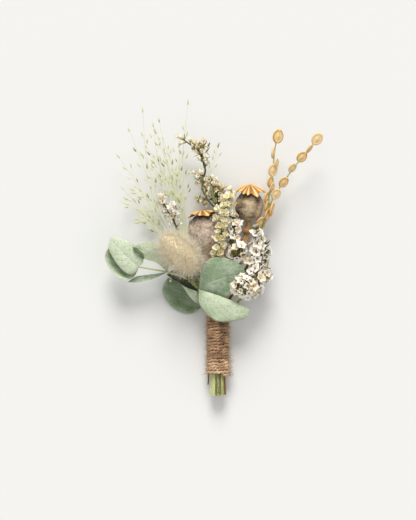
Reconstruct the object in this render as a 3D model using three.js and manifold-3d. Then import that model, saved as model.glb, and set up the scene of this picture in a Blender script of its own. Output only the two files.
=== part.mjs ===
// A dried-flower boutonniere, lying flat on a table.
// Twelve sprigs are gathered into a round handle, bound with jute twine and cut off square.
// Millimetres. +Y runs from the cut ends to the flowers, +X to the right, +Z up from the table.
// Every place below is measured from the tie point: the middle of the handle where the twine
// starts, with z counted from the table. The finished group is moved at the end, so that its
// origin is the bottom centre of its box.

import * as THREE from 'three';
import { mergeVertices } from 'three/addons/utils/BufferGeometryUtils.js';
import Module from 'manifold-3d';

const wasm = await Module();
wasm.setup();

// Handle and twine
const HANDLE_LENGTH = 41;
const WRAP_LENGTH = 31;
const TWINE_DIAMETER = 1.25;
const TWINE_PITCH = 1.45;
const TWINE_STEPS_PER_TURN = 10;
const TWINE_SIDES = 4;
const OUTER_STEMS = { count: 9, ring: 2.9, radius: 0.82 };
const INNER_STEMS = { count: 3, ring: 1, radius: 0.72 };
const CLEARANCE = 0.3;
const BUNDLE_RADIUS = OUTER_STEMS.ring + OUTER_STEMS.radius;
const COIL_INNER_RADIUS = (BUNDLE_RADIUS + CLEARANCE) / Math.cos(Math.PI / TWINE_STEPS_PER_TURN);
const COIL_RADIUS = COIL_INNER_RADIUS + TWINE_DIAMETER / 2;
const BUNDLE_HEIGHT = COIL_RADIUS + TWINE_DIAMETER / 2;
const STRAIGHT_END = 0.8;
const STRAIGHT_LEAD = 3.8;
const CUT_SPREAD = 1.12;

// Leaves
const LEAF_THICKNESS = 0.6;
const LEAF_ROWS = 7;
const LEAF_COLUMNS = 4;
const RIPPLE_ALONG = 9;
const RIPPLE_SKEW = 2;

// Stems
const STEM_SIDES = 5;
const TWIG_RADIUS = 0.28;
const ROOT_DEPTH = 0.25;

// Poppy heads
const POPPY_SEGMENTS = 20;
const POPPY_RIBS = 10;
const POPPY_RIB_DEPTH = 0.025;
const CROWN_RAYS = 12;
const CROWN_RADIUS = 7.4;
const CROWN_THICKNESS = 0.9;
const CROWN_RINGS = [0.3, 0.68, 1];
const CROWN_NOTCH = 0.82;
const CROWN_RIDGE = 0.35;
const STEM_SCAR = { place: [14.7, 41.4, 5.5], direction: [0.25, 1, 0.1], radius: 1.9, length: 1.1 };

// Small flowers
const WHITE_FLORET = { radius: 2.2, depth: 2.6, lobes: 5 };
const BEIGE_FLORET = { radius: 1.45, depth: 2, lobes: 4 };
const GREY_FLORET = { radius: 1.5, depth: 2, lobes: 4 };
const YELLOW_FLORET = { radius: 2.1, depth: 2, lobes: 4 };
const FLORET_SPACING = 1.75;
const FLORET_TURNS = 8;
const STAR_VALLEY = 0.62;
const BRACT = { radius: 0.75, length: 3.2 };
const POD_THICKNESS = 1.7;
const SPIKELET = { length: 3.1, radius: 0.7, stalkRadius: 0.26 };

const Z_AXIS = new THREE.Vector3(0, 0, 1);
const GOLDEN_ANGLE = Math.PI * (3 - Math.sqrt(5));

// Repeatable random numbers
function randomFrom(seed) {
  let state = seed;
  return (low, high) => {
    state = (state * 1664525 + 1013904223) % 4294967296;
    return low + (high - low) * state / 4294967296;
  };
}

// Geometry to solid and back
function solidOf(geometry) {
  const bare = geometry.clone();
  bare.deleteAttribute('normal');
  bare.deleteAttribute('uv');
  const merged = mergeVertices(bare, 1e-4);
  const index = merged.index.array;
  const corners = [];
  for (let i = 0; i < index.length; i += 3) {
    const [a, b, c] = [index[i], index[i + 1], index[i + 2]];
    if (a !== b && b !== c && c !== a) corners.push(a, b, c);
  }
  return new wasm.Manifold(new wasm.Mesh({
    numProp: 3,
    vertProperties: new Float32Array(merged.attributes.position.array),
    triVerts: new Uint32Array(corners),
  }));
}

function geometryOf(solid) {
  const mesh = solid.getMesh();
  const geometry = new THREE.BufferGeometry();
  geometry.setAttribute('position', new THREE.BufferAttribute(mesh.vertProperties, 3));
  geometry.setIndex(new THREE.BufferAttribute(mesh.triVerts, 1));
  geometry.computeVertexNormals();
  return geometry;
}

// Joins the pieces of one sprig and keeps its one connected body
function fuse(pieces) {
  const bodies = wasm.Manifold.union(pieces).decompose();
  return bodies.reduce((largest, body) => (body.volume() > largest.volume() ? body : largest));
}

function meshFrom(positions, corners) {
  const geometry = new THREE.BufferGeometry();
  geometry.setAttribute('position', new THREE.Float32BufferAttribute(positions, 3));
  geometry.setIndex(corners);
  return geometry;
}

const vector = ([x, y, z]) => new THREE.Vector3(x, y, z);
const smoothCurve = (points) => new THREE.CatmullRomCurve3(points.map(vector), false, 'centripetal');

// Turns and moves a geometry made along +Z so that it starts at a place and points along a direction
function stand(geometry, place, direction, spin = 0) {
  const turn = new THREE.Quaternion().setFromUnitVectors(Z_AXIS, direction.clone().normalize());
  const roll = new THREE.Quaternion().setFromAxisAngle(Z_AXIS, spin);
  geometry.applyQuaternion(turn.multiply(roll));
  return geometry.translate(place.x, place.y, place.z);
}

// A round stem that tapers along a curve, with a ring at each of the curve's own points and
// one more between them, apart from the straight spans at its start
function stemAlong(curve, rootRadius, tipRadius, { sides = STEM_SIDES, straight = 0 } = {}) {
  const spans = curve.points.length - 1;
  const stops = [];
  for (let span = 0; span < spans; span++) {
    stops.push(span / spans);
    if (span >= straight) stops.push((span + 0.5) / spans);
  }
  stops.push(1);
  const rings = stops.length - 1;
  const geometry = new THREE.CylinderGeometry(1, 1, 1, sides, rings);
  geometry.translate(0, 0.5, 0);
  const normal = new THREE.Vector3().crossVectors(curve.getTangent(0), Z_AXIS).normalize();
  const frames = stops.map((stop) => {
    const tangent = curve.getTangent(stop);
    normal.addScaledVector(tangent, -tangent.dot(normal)).normalize();
    const side = new THREE.Vector3().crossVectors(normal, tangent);
    const radius = rootRadius + (tipRadius - rootRadius) * stop;
    return { centre: curve.getPoint(stop), normal: normal.clone(), side, radius };
  });
  const position = geometry.attributes.position;
  for (let i = 0; i < position.count; i++) {
    const frame = frames[Math.round(position.getY(i) * rings)];
    const place = frame.centre.clone()
      .addScaledVector(frame.normal, position.getX(i) * frame.radius)
      .addScaledVector(frame.side, position.getZ(i) * frame.radius);
    position.setXYZ(i, place.x, place.y, place.z);
  }
  return solidOf(geometry);
}

// Places in the handle, as degrees round its axis from +X towards +Z
function outerPlace(number) {
  const angle = Math.PI / 2 + 2 * Math.PI * number / OUTER_STEMS.count;
  return { angle, ...OUTER_STEMS };
}

function innerPlace(number) {
  const angle = Math.PI / 2 + 2 * Math.PI * number / INNER_STEMS.count;
  return { angle, ...INNER_STEMS };
}

// A sprig's stem: straight through the handle, then along its own route to the tip.
// Below the twine the stems spread a little towards their cut ends.
function sprigStem({ place, route, tipRadius, cut = 0 }) {
  const at = (y, spread = 1) => [
    spread * place.ring * Math.cos(place.angle),
    y,
    BUNDLE_HEIGHT + spread * place.ring * Math.sin(place.angle),
  ];
  const handle = [
    at(cut - HANDLE_LENGTH, CUT_SPREAD),
    at(-WRAP_LENGTH),
    at(STRAIGHT_END - STRAIGHT_LEAD),
    at(STRAIGHT_END),
  ];
  const curve = smoothCurve([...handle, ...route]);
  return stemAlong(curve, place.radius, tipRadius, { straight: handle.length - 1 });
}

// Leaf blade between a left rim, a midrib and a right rim, which share both their ends.
// The crown lifts each half between the midrib and its rim, and the ripple waves the rims.
function leafBlade({ left, rib, right, crownLeft = 0, crownRight = 0, ripple = 0 }) {
  const base = rib[0];
  const tip = rib[rib.length - 1];
  const rims = [left, right].map((rim) => smoothCurve([base, ...rim, tip]));
  const midrib = smoothCurve(rib);
  const grid = [];
  for (let row = 0; row <= LEAF_ROWS; row++) {
    const along = row / LEAF_ROWS;
    const middle = midrib.getPoint(along);
    const [leftEdge, rightEdge] = rims.map((rim) => rim.getPoint(along));
    const across = new THREE.Vector3().subVectors(rightEdge, leftEdge);
    const up = new THREE.Vector3().crossVectors(across, midrib.getTangent(along)).normalize();
    const line = [];
    for (let column = 0; column <= LEAF_COLUMNS; column++) {
      const side = 2 * column / LEAF_COLUMNS - 1;
      const reach = Math.abs(side);
      const crown = side < 0 ? crownLeft : crownRight;
      const wave = Math.sin(RIPPLE_ALONG * along + RIPPLE_SKEW * side);
      const lift = 4 * crown * reach * (1 - reach) + ripple * reach * wave;
      const taper = Math.sin(Math.PI * along);
      line.push(middle.clone()
        .lerp(side < 0 ? leftEdge : rightEdge, reach)
        .addScaledVector(up, lift * taper));
    }
    grid.push(line);
  }
  return bladeFrom(grid);
}

// Gives a grid of points its thickness: both faces are split into triangles alike
function bladeFrom(grid) {
  const rows = grid.length - 1;
  const columns = grid[0].length - 1;
  const positions = [];
  const number = (row, column) => {
    if (row === 0) return 0;
    if (row === rows) return 1 + (rows - 1) * (columns + 1);
    return 1 + (row - 1) * (columns + 1) + column;
  };
  const total = number(rows, 0) + 1;
  for (const face of [1, -1]) {
    for (let row = 0; row <= rows; row++) {
      const last = row === 0 || row === rows ? 0 : columns;
      for (let column = 0; column <= last; column++) {
        const middle = Math.round(columns / 2);
        const here = last === 0 ? middle : column;
        const rowBefore = grid[Math.max(row - 1, 0)];
        const rowAfter = grid[Math.min(row + 1, rows)];
        const line = grid[Math.min(Math.max(row, 1), rows - 1)];
        const along = new THREE.Vector3().subVectors(rowAfter[here], rowBefore[here]);
        const leftward = line[Math.max(here - 1, 0)];
        const across = new THREE.Vector3().subVectors(line[Math.min(here + 1, columns)], leftward);
        const normal = new THREE.Vector3().crossVectors(across, along).normalize();
        const point = grid[row][here].clone().addScaledVector(normal, face * LEAF_THICKNESS / 2);
        positions.push(point.x, point.y, point.z);
      }
    }
  }
  const corners = [];
  const addFaces = (a, b, c) => {
    if (a === b || b === c || c === a) return;
    corners.push(a, b, c, total + a, total + c, total + b);
  };
  for (let row = 0; row < rows; row++) {
    for (let column = 0; column < columns; column++) {
      addFaces(number(row, column), number(row, column + 1), number(row + 1, column + 1));
      addFaces(number(row, column), number(row + 1, column + 1), number(row + 1, column));
    }
    for (const [column, flip] of [[0, false], [columns, true]]) {
      const [a, b] = flip
        ? [number(row + 1, column), number(row, column)]
        : [number(row, column), number(row + 1, column)];
      corners.push(a, b, total + b, a, total + b, total + a);
    }
  }
  return solidOf(meshFrom(positions, corners));
}

// Floret: a three-sided stalk that starts as a point, opening into a star with a sunk middle
function floret({ radius, depth, lobes }, stalk, place, direction, spin) {
  const points = 2 * lobes;
  const positions = [0, 0, 0, 0, 0, stalk + depth * 0.5];
  const corners = [];
  for (let i = 0; i < 3; i++) {
    const angle = 2 * Math.PI * (i + 0.5) / 3;
    positions.push(TWIG_RADIUS * Math.cos(angle), TWIG_RADIUS * Math.sin(angle), stalk);
    corners.push(0, 2 + (i + 1) % 3, 2 + i);
  }
  for (let i = 0; i < points; i++) {
    const angle = 2 * Math.PI * i / points;
    const reach = i % 2 === 0 ? radius : radius * STAR_VALLEY;
    positions.push(reach * Math.cos(angle), reach * Math.sin(angle), stalk + depth);
    const here = 5 + i;
    const next = 5 + (i + 1) % points;
    const foot = 2 + Math.floor(3 * i / points);
    const nextFoot = 2 + Math.floor(3 * (i + 1) / points) % 3;
    corners.push(1, here, next, foot, next, here);
    if (nextFoot !== foot) corners.push(foot, nextFoot, next);
  }
  return solidOf(stand(meshFrom(positions, corners), place, direction, spin));
}

// Bract, awn or hair: a slim cone with three or more sides
function spur({ radius, length }, place, direction, sides = 3) {
  const geometry = new THREE.ConeGeometry(radius, length, sides);
  geometry.rotateX(Math.PI / 2);
  geometry.translate(0, 0, length / 2);
  return solidOf(stand(geometry, place, direction));
}

// Grass spikelet on its hair-thin branchlet: widest a third of the way along, pointed at the end
function spikelet(root, direction, stalk) {
  const { length, radius, stalkRadius } = SPIKELET;
  const profile = [[0, 0], [stalkRadius, 0.8], [stalkRadius, stalk],
    [radius, stalk + length * 0.35], [0, stalk + length]];
  const geometry = new THREE.LatheGeometry(profile.map(([x, y]) => new THREE.Vector2(x, y)), 3);
  geometry.rotateX(Math.PI / 2);
  return solidOf(stand(geometry, root, direction));
}

// Pieces that would touch a neighbouring sprig are left off
function keepClear(pieces, neighbours) {
  return pieces.filter((piece) => neighbours.every((other) => !nearerThan(piece, other, CLEARANCE)));
}

function nearerThan(piece, other, gap) {
  const a = piece.boundingBox();
  const b = other.boundingBox();
  const apart = [0, 1, 2].some((axis) =>
    a.min[axis] > b.max[axis] + gap || b.min[axis] > a.max[axis] + gap);
  return !apart && piece.minGap(other, gap * 1.1) < gap;
}

// Florets set round a branch by the golden angle, leaning along it.
// Each takes the first turn that leaves its open face room among the faces already there.
function floretsAlong(curve, faces, { from, to, count, lean, lift, stalk, form, seed }) {
  const random = randomFrom(seed);
  const pieces = [];
  for (let i = 0; i < count; i++) {
    const along = from + (to - from) * i / Math.max(count - 1, 1);
    const root = curve.getPoint(along);
    const tangent = curve.getTangent(along);
    const side = new THREE.Vector3().crossVectors(tangent, Z_AXIS).normalize();
    const up = new THREE.Vector3().crossVectors(side, tangent);
    for (let turn = 0; turn < FLORET_TURNS; turn++) {
      const angle = GOLDEN_ANGLE * (i + turn) + random(-0.3, 0.3);
      const direction = side.clone().multiplyScalar(Math.cos(angle))
        .addScaledVector(up, Math.sin(angle) + lift)
        .addScaledVector(tangent, lean + random(-0.2, 0.2))
        .normalize();
      const face = root.clone().addScaledVector(direction, stalk + form.depth);
      if (faces.some((other) => other.distanceTo(face) < FLORET_SPACING * form.radius)) continue;
      faces.push(face);
      const foot = root.clone().addScaledVector(direction, -ROOT_DEPTH);
      pieces.push(floret(form, stalk + ROOT_DEPTH, foot, direction, random(0, 1)));
      break;
    }
  }
  return pieces;
}

// The handle's twine: one long helix of round yarn
class Coil extends THREE.Curve {
  constructor(radius, pitch, turns) {
    super();
    Object.assign(this, { radius, pitch, turns });
  }

  getPoint(t, target = new THREE.Vector3()) {
    const angle = -Math.PI / 2 + 2 * Math.PI * this.turns * t;
    const x = this.radius * Math.cos(angle);
    const z = this.radius * Math.sin(angle);
    return target.set(x, -this.pitch * this.turns * t, z);
  }
}

function makeTwine() {
  const turns = Math.floor((WRAP_LENGTH - TWINE_DIAMETER) / TWINE_PITCH);
  const yarn = new THREE.Shape(new THREE.Path().absarc(0, 0, TWINE_DIAMETER / 2, 0, 2 * Math.PI)
    .getSpacedPoints(TWINE_SIDES).slice(0, TWINE_SIDES));
  const coil = new Coil(COIL_RADIUS, TWINE_PITCH, turns);
  const steps = turns * TWINE_STEPS_PER_TURN;
  const geometry = new THREE.ExtrudeGeometry(yarn, { steps, extrudePath: coil, bevelEnabled: false });
  geometry.translate(0, -TWINE_DIAMETER / 2, BUNDLE_HEIGHT);
  return solidOf(geometry);
}

// Eucalyptus sprig on the left: a leaf pair at the far node, three leaves at the near node.
// The drooping leaf is folded: its rib is a crest, and the right margin falls away behind it.
function makeEucalyptusLeft() {
  const nearNode = [-25, 21, 12.6];
  const farNode = [-39.3, 23.6, 15.2];
  const stem = sprigStem({
    place: outerPlace(2),
    route: [[-5.6, 5.5, 6.8], [-10, 11.6, 8.3], [-16, 17.8, 10.2], nearNode],
    tipRadius: 0.6,
    cut: 0.5,
  });
  const petiole = stemAlong(smoothCurve([nearNode, [-31, 22.1, 14], farNode]), 0.45, 0.4);
  const upperFar = leafBlade({
    left: [[-40.8, 21, 15.2], [-43.9, 19.9, 15.6], [-47.4, 21.9, 15.9], [-51.8, 27.4, 16.3],
      [-54.4, 33.3, 16.6]],
    rib: [farNode, [-43.6, 27.2, 16.6], [-48.3, 32, 17.6], [-53.6, 38.2, 16.8]],
    right: [[-37.2, 26, 15.3], [-38, 30.5, 15.8], [-42.3, 35, 16.4], [-47.8, 37.6, 16.9]],
    crownLeft: 0.7,
    crownRight: 0.4,
    ripple: 0.25,
  });
  const lowerFar = leafBlade({
    left: [[-42, 18.2, 12.8], [-46.6, 16.8, 11.8], [-51.8, 20, 11.8], [-56, 27, 12.6],
      [-56, 30.6, 13.4]],
    rib: [farNode, [-44.5, 22, 11.2], [-50, 26.4, 10.4], [-54, 33.6, 13]],
    right: [[-40, 26.5, 12.8], [-43.6, 30.8, 12], [-48.8, 34.2, 12]],
    ripple: 0.25,
  });
  const upperNear = leafBlade({
    left: [[-30.3, 25.3, 13], [-36.7, 27.8, 16.6], [-40.2, 30, 18.2]],
    rib: [nearNode, [-29.5, 27.3, 12.8], [-36, 31.3, 17.2], [-42.2, 33.1, 17.8]],
    right: [[-24.4, 27, 11.2], [-27.5, 33, 12.6], [-34.2, 36, 16.6], [-39.4, 35.2, 18.2]],
    crownRight: 0.3,
  });
  const onEdge = leafBlade({
    left: [[-30.5, 18.2, 13.8], [-35.4, 16.6, 14.8], [-40.6, 15.6, 14]],
    rib: [nearNode, [-30.8, 19.4, 11.6], [-38, 18, 12], [-45, 16.2, 12.4]],
    right: [[-29.6, 21.2, 9.4], [-36, 20.4, 9], [-41.6, 18.6, 9.8]],
    crownLeft: -0.2,
    crownRight: -0.2,
  });
  const drooping = leafBlade({
    left: [[-27.6, 16.4, 8.6], [-28, 10.2, 4], [-24.4, 4.4, 0.9], [-18.6, 0.3, 0.2],
      [-12.2, 0.3, 1.4]],
    rib: [nearNode, [-22.8, 16.6, 12.4], [-17.5, 13.4, 12.7], [-13.5, 9.2, 11.8], [-9, 3.8, 6]],
    right: [[-20.4, 18.6, 12], [-14.8, 16.4, 10.9], [-10.4, 13.4, 9.8], [-8.4, 9.4, 8.4]],
    crownLeft: -1.2,
    crownRight: 0.2,
  });
  return fuse([stem, petiole, upperFar, lowerFar, upperNear, onEdge, drooping]);
}

// Eucalyptus sprig on the right: the wide leaf behind the tie and the pale leaf over the twine
function makeEucalyptusRight() {
  const node = [-9.6, 12.4, 12.4];
  const stem = sprigStem({
    place: outerPlace(1),
    route: [[-3.6, 3.4, 8.7], [-6.6, 8, 10.4], node],
    tipRadius: 0.6,
    cut: 0.2,
  });
  const wide = leafBlade({
    left: [[-8.9, 19.6, 14], [-6.2, 26.2, 15.2], [-0.6, 28.4, 15.9], [6.6, 27, 15.8],
      [11.6, 24.2, 15.2]],
    rib: [node, [-3, 16.2, 13.9], [5, 18.8, 14.5], [13.8, 20.6, 14.4]],
    right: [[-4.6, 9.6, 12.2], [1.6, 7.9, 12], [6.8, 9.8, 12.3], [10.6, 14.4, 13.2]],
    crownLeft: 0.3,
    crownRight: 0.3,
    ripple: 0.2,
  });
  const pale = leafBlade({
    left: [[-4.6, 11, 13.4], [2.9, 8.4, 13.2], [9.4, 5.8, 13.2]],
    rib: [node, [-4.6, 8.9, 14.8], [3, 6, 15.4], [9.6, 3.8, 15.2], [15.5, 2, 14.4]],
    right: [[-9.5, 6, 13.4], [-6.6, 1.2, 13.3], [-0.6, -3.4, 13.4], [7.6, -3.3, 13.9],
      [13.8, -0.8, 14.2]],
    crownLeft: 0.1,
    crownRight: 0.4,
    ripple: 0.2,
  });
  return fuse([stem, wide, pale]);
}

// Bunny-tail grass head: a woolly oval of soft awns that sweep towards its tip
const BUNNY_HEAD = { base: [-9.6, 22.4, 18.6], tip: [-28.6, 39.2, 20.8], radius: 7.6 };
const BUNNY_AWNS = { count: 104, length: 4.6, radius: 0.85, rootedAt: 0.86, sweep: 0.55 };

function makeBunnyHead(neighbours) {
  const base = vector(BUNNY_HEAD.base);
  const tip = vector(BUNNY_HEAD.tip);
  const axis = new THREE.Vector3().subVectors(tip, base);
  const half = axis.length() / 2;
  axis.normalize();
  const centre = new THREE.Vector3().addVectors(base, tip).multiplyScalar(0.5);
  const core = new THREE.SphereGeometry(1, 10, 8);
  core.rotateX(Math.PI / 2);
  core.scale(BUNNY_HEAD.radius, BUNNY_HEAD.radius, half);
  const turn = new THREE.Quaternion().setFromUnitVectors(Z_AXIS, axis);
  core.applyQuaternion(turn);
  core.translate(centre.x, centre.y, centre.z);
  const random = randomFrom(7);
  const awns = [];
  for (let i = 0; i < BUNNY_AWNS.count; i++) {
    const height = 1 - 2 * (i + 0.5) / BUNNY_AWNS.count;
    const ring = Math.sqrt(1 - height * height);
    const angle = GOLDEN_ANGLE * i;
    const outward = new THREE.Vector3(ring * Math.cos(angle), ring * Math.sin(angle), height);
    const root = outward.clone()
      .multiply(new THREE.Vector3(BUNNY_HEAD.radius, BUNNY_HEAD.radius, half))
      .multiplyScalar(BUNNY_AWNS.rootedAt)
      .applyQuaternion(turn)
      .add(centre);
    const direction = outward.applyQuaternion(turn).addScaledVector(axis, BUNNY_AWNS.sweep);
    const length = BUNNY_AWNS.length * random(0.85, 1.15);
    awns.push(spur({ radius: BUNNY_AWNS.radius, length }, root, direction));
  }
  return fuse([solidOf(core), ...keepClear(awns, neighbours)]);
}

function makeBunnyStem() {
  return sprigStem({
    place: outerPlace(0),
    route: [[-1.4, 6, 8.9], [-5, 13, 10.3], [-8.6, 19, 11.8], [-9.8, 21, 14.4], [-9.4, 21.9, 17.6]],
    tipRadius: 0.6,
  });
}

// Poppy seed heads: a ribbed capsule that narrows to its neck, under a scalloped crown.
// A profile gives radius and height above the neck, and the crown's rim droops towards the stem.
const LEFT_POPPY = {
  crownCentre: [-7.9, 51, 7.7],
  neck: [-4.6, 26.4, 6.9],
  profile: [[0, 0], [1.5, 0], [2.1, 2.4], [4.1, 6.4], [6.1, 11], [7.3, 15.2], [7.25, 17.4],
    [6.6, 20], [5.2, 21.8], [2.2, 23.8], [0, 23.9]],
  droop: 1.8,
};
const RIGHT_POPPY = {
  crownCentre: [16.2, 64.4, 8.5],
  neck: [15.5, 46.6, 6.1],
  profile: [[0, 0], [1.5, 0], [3.4, 0.6], [5.7, 2.8], [6.9, 6.4], [6.75, 9.4], [5.8, 11.6],
    [4.6, 13.4], [2.2, 16.6], [0, 16.8]],
  droop: 4.4,
};

function poppyAxis({ crownCentre, neck }) {
  return vector(crownCentre).sub(vector(neck)).normalize();
}

function makeCapsule(poppy) {
  const outline = poppy.profile.map(([x, y]) => new THREE.Vector2(x, y));
  const geometry = new THREE.LatheGeometry(outline, POPPY_SEGMENTS);
  const position = geometry.attributes.position;
  for (let i = 0; i < position.count; i++) {
    const angle = Math.atan2(position.getX(i), position.getZ(i));
    const rib = 1 + POPPY_RIB_DEPTH * Math.cos(POPPY_RIBS * angle);
    position.setXYZ(i, position.getX(i) * rib, position.getY(i), position.getZ(i) * rib);
  }
  geometry.rotateX(Math.PI / 2);
  return solidOf(stand(geometry, vector(poppy.neck), poppyAxis(poppy)));
}

function makeCrown(poppy) {
  const points = 2 * CROWN_RAYS;
  const positions = [];
  const corners = [];
  const half = 1 + CROWN_RINGS.length * points;
  for (const face of [1, 0]) {
    positions.push(0, 0, 0.5 * face * CROWN_THICKNESS);
    for (const ring of CROWN_RINGS) {
      for (let i = 0; i < points; i++) {
        const onRay = i % 2 === 0;
        const angle = 2 * Math.PI * i / points;
        const reach = CROWN_RADIUS * ring * (onRay || ring < 1 ? 1 : CROWN_NOTCH);
        const ridge = onRay ? CROWN_RIDGE : 0;
        const height = -poppy.droop * ring * ring + ridge + (face - 0.5) * CROWN_THICKNESS;
        positions.push(reach * Math.cos(angle), reach * Math.sin(angle), height);
      }
    }
  }
  const at = (ring, i, face) => face * half + 1 + ring * points + i % points;
  for (let i = 0; i < points; i++) {
    corners.push(0, at(0, i, 0), at(0, i + 1, 0), half, at(0, i + 1, 1), at(0, i, 1));
    for (let ring = 0; ring < CROWN_RINGS.length - 1; ring++) {
      const [a, b, c, d] = [at(ring, i, 0), at(ring + 1, i, 0), at(ring + 1, i + 1, 0),
        at(ring, i + 1, 0)];
      corners.push(a, b, c, a, c, d, half + a, half + c, half + b, half + a, half + d, half + c);
    }
    const last = CROWN_RINGS.length - 1;
    const [a, b] = [at(last, i, 0), at(last, i + 1, 0)];
    corners.push(a, half + a, half + b, a, half + b, b);
  }
  return solidOf(stand(meshFrom(positions, corners), vector(poppy.crownCentre), poppyAxis(poppy)));
}

// The stem's end stops just short of the capsule's neck
function belowNeck(poppy) {
  return vector(poppy.neck).addScaledVector(poppyAxis(poppy), -CLEARANCE - 0.1).toArray();
}

function makeLeftPoppyStem() {
  return sprigStem({
    place: outerPlace(4),
    route: [[-1.6, 6, 3.2], [-3.2, 15, 5.2], belowNeck(LEFT_POPPY)],
    tipRadius: 1.3,
    cut: 0.3,
  });
}

function makeRightPoppyStem() {
  const stem = sprigStem({
    place: innerPlace(2),
    route: [[2.6, 7, 4.9], [7.2, 20, 4.6], [12.6, 34, 4.9], [14.8, 42, 5.5], belowNeck(RIGHT_POPPY)],
    tipRadius: 1.1,
    cut: 0.6,
  });
  const { place, direction, radius, length } = STEM_SCAR;
  const collar = new THREE.CylinderGeometry(radius, radius + 0.2, length, 8);
  collar.rotateX(Math.PI / 2);
  return fuse([stem, solidOf(stand(collar, vector(place), vector(direction)))]);
}

// Fine panicle grass: hair-thin culms that fan out from one stem, with a spikelet on each branchlet
const GRASS_FORK = [-13.6, 27.6, 3.9];
const GRASS_CULMS = [
  [[-17.6, 42, 4.4], [-17.8, 62, 6.4], [-17.4, 80, 6.6], [-14.6, 106.8, 10]],
  [[-20, 45, 4.6], [-21.6, 60, 6], [-26, 76, 8], [-30.5, 89, 11]],
  [[-22.4, 44, 4.4], [-25.6, 62, 6.8], [-30.2, 78, 9.6], [-32, 92, 13]],
  [[-23.6, 42, 4.2], [-29.8, 58, 6], [-35.4, 76, 9], [-37.4, 99.4, 13]],
  [[-24.6, 41, 4], [-31.6, 56, 5.4], [-36.6, 72, 8.4], [-43.6, 90, 12]],
  [[-26, 40, 3.8], [-34, 54, 5], [-41, 66, 7], [-48.6, 77, 9]],
  [[-26.6, 37.6, 3.6], [-34.4, 48, 4.4], [-46.4, 61.4, 6]],
];
const GRASS_CULM_RADIUS = 0.4;
const BRANCHLETS_PER_CULM = 8;
const BRANCHLET_TRIES = 6;
const FIRST_BRANCHLET = 0.36;

function makeGrass(neighbours) {
  const stem = sprigStem({
    place: outerPlace(3),
    route: [[-5.4, 8, 3.2], [-9.4, 17.6, 3.3], GRASS_FORK],
    tipRadius: 0.9,
    cut: 0.1,
  });
  const middle = (GRASS_CULMS.length - 1) / 2;
  const [forkX, forkY, forkZ] = GRASS_FORK;
  const curves = GRASS_CULMS.map((route, i) =>
    smoothCurve([[forkX + 0.25 * (middle - i), forkY - 0.5, forkZ], ...route]));
  const culms = curves.map((curve) => stemAlong(curve, GRASS_CULM_RADIUS, 0.36, { sides: 4 }));
  const random = randomFrom(21);
  const sprays = [];
  curves.forEach((curve, number) => {
    const others = culms.filter((culm, i) => i !== number);
    for (let i = 0; i < BRANCHLETS_PER_CULM; i++) {
      const atTip = i === BRANCHLETS_PER_CULM - 1;
      const along = FIRST_BRANCHLET + (1 - FIRST_BRANCHLET) * i / (BRANCHLETS_PER_CULM - 1);
      for (let tries = 0; tries < BRANCHLET_TRIES; tries++) {
        const swing = atTip ? 0 : random(0.3, 0.75) * ((i + tries) % 2 === 0 ? 1 : -1);
        const direction = curve.getTangent(along).applyAxisAngle(Z_AXIS, swing);
        direction.z += atTip ? 0 : random(-0.25, 0.4);
        direction.normalize();
        const root = curve.getPoint(along).addScaledVector(direction, -ROOT_DEPTH);
        const spray = spikelet(root, direction, atTip ? 0.9 : random(2.5, 6.5));
        if ([...others, ...sprays].some((other) => nearerThan(spray, other, 0.05))) continue;
        sprays.push(spray);
        break;
      }
    }
  });
  return fuse([stem, ...culms, ...keepClear(sprays, neighbours)]);
}

// Sea-lavender sprigs: a stem, side branches, and florets round each of them
function makeStatice({ stem, branches, bracts, neighbours }) {
  const curves = branches.map(({ points }) => smoothCurve(points));
  const twigs = curves.map((curve, i) => stemAlong(curve, branches[i].radius, 0.4, { sides: 4 }));
  const faces = [];
  const florets = curves.flatMap((curve, i) => floretsAlong(curve, faces, branches[i].florets));
  const spurs = bracts.map(({ place, direction }) => spur(BRACT, vector(place), vector(direction)));
  return fuse([stem, ...twigs, ...keepClear([...florets, ...spurs], neighbours)]);
}

function makeStaticeTop(neighbours) {
  const common = { lean: 0.9, lift: 0.35, stalk: 0.7, form: BEIGE_FLORET };
  return makeStatice({
    stem: sprigStem({
      place: outerPlace(5),
      route: [[1.5, 9, 2.9], [1.8, 26, 3.4], [1.8, 43, 4.2], [0.2, 53, 5.4], [-2.8, 57.4, 6.1],
        [-5.3, 60.6, 6.8]],
      tipRadius: 0.6,
      cut: 0.4,
    }),
    branches: [
      {
        points: [[-5.3, 60.6, 6.8], [-7.4, 66, 8], [-6.8, 73, 9.4], [-10.6, 82.6, 11], [-17.6, 88.2, 12]],
        radius: 0.6,
        florets: { ...common, from: 0.12, to: 1, count: 16, seed: 31 },
      },
      {
        points: [[-6.8, 73, 9.4], [-8, 79.6, 10.6], [-5.6, 86.4, 12]],
        radius: 0.45,
        florets: { ...common, from: 0.4, to: 1, count: 6, seed: 32 },
      },
      {
        points: [[0.2, 53, 5.4], [-0.8, 60, 7.6], [-3.4, 67, 9.4]],
        radius: 0.45,
        florets: { ...common, from: 0.35, to: 1, count: 5, seed: 33 },
      },
      {
        points: [[0.9, 50, 5], [1.2, 60, 7.4], [-0.2, 71, 9.4], [-0.6, 79.6, 10.6]],
        radius: 0.45,
        florets: { ...common, from: 0.5, to: 1, count: 3, seed: 34 },
      },
      {
        points: [[-2.8, 57.4, 6.1], [-6.6, 57.6, 8], [-9.8, 60.4, 9.8], [-12.4, 64.6, 10.8]],
        radius: 0.45,
        florets: { ...common, from: 0.25, to: 1, count: 6, seed: 35 },
      },
    ],
    bracts: [
      { place: [-7.3, 66, 8], direction: [-1, 0.5, 0.5] },
      { place: [-10.4, 82.4, 11], direction: [0.9, 0.6, 0.4] },
      { place: [-5.3, 60, 6.6], direction: [-1, 0.8, 0.3] },
    ],
    neighbours,
  });
}

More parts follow.
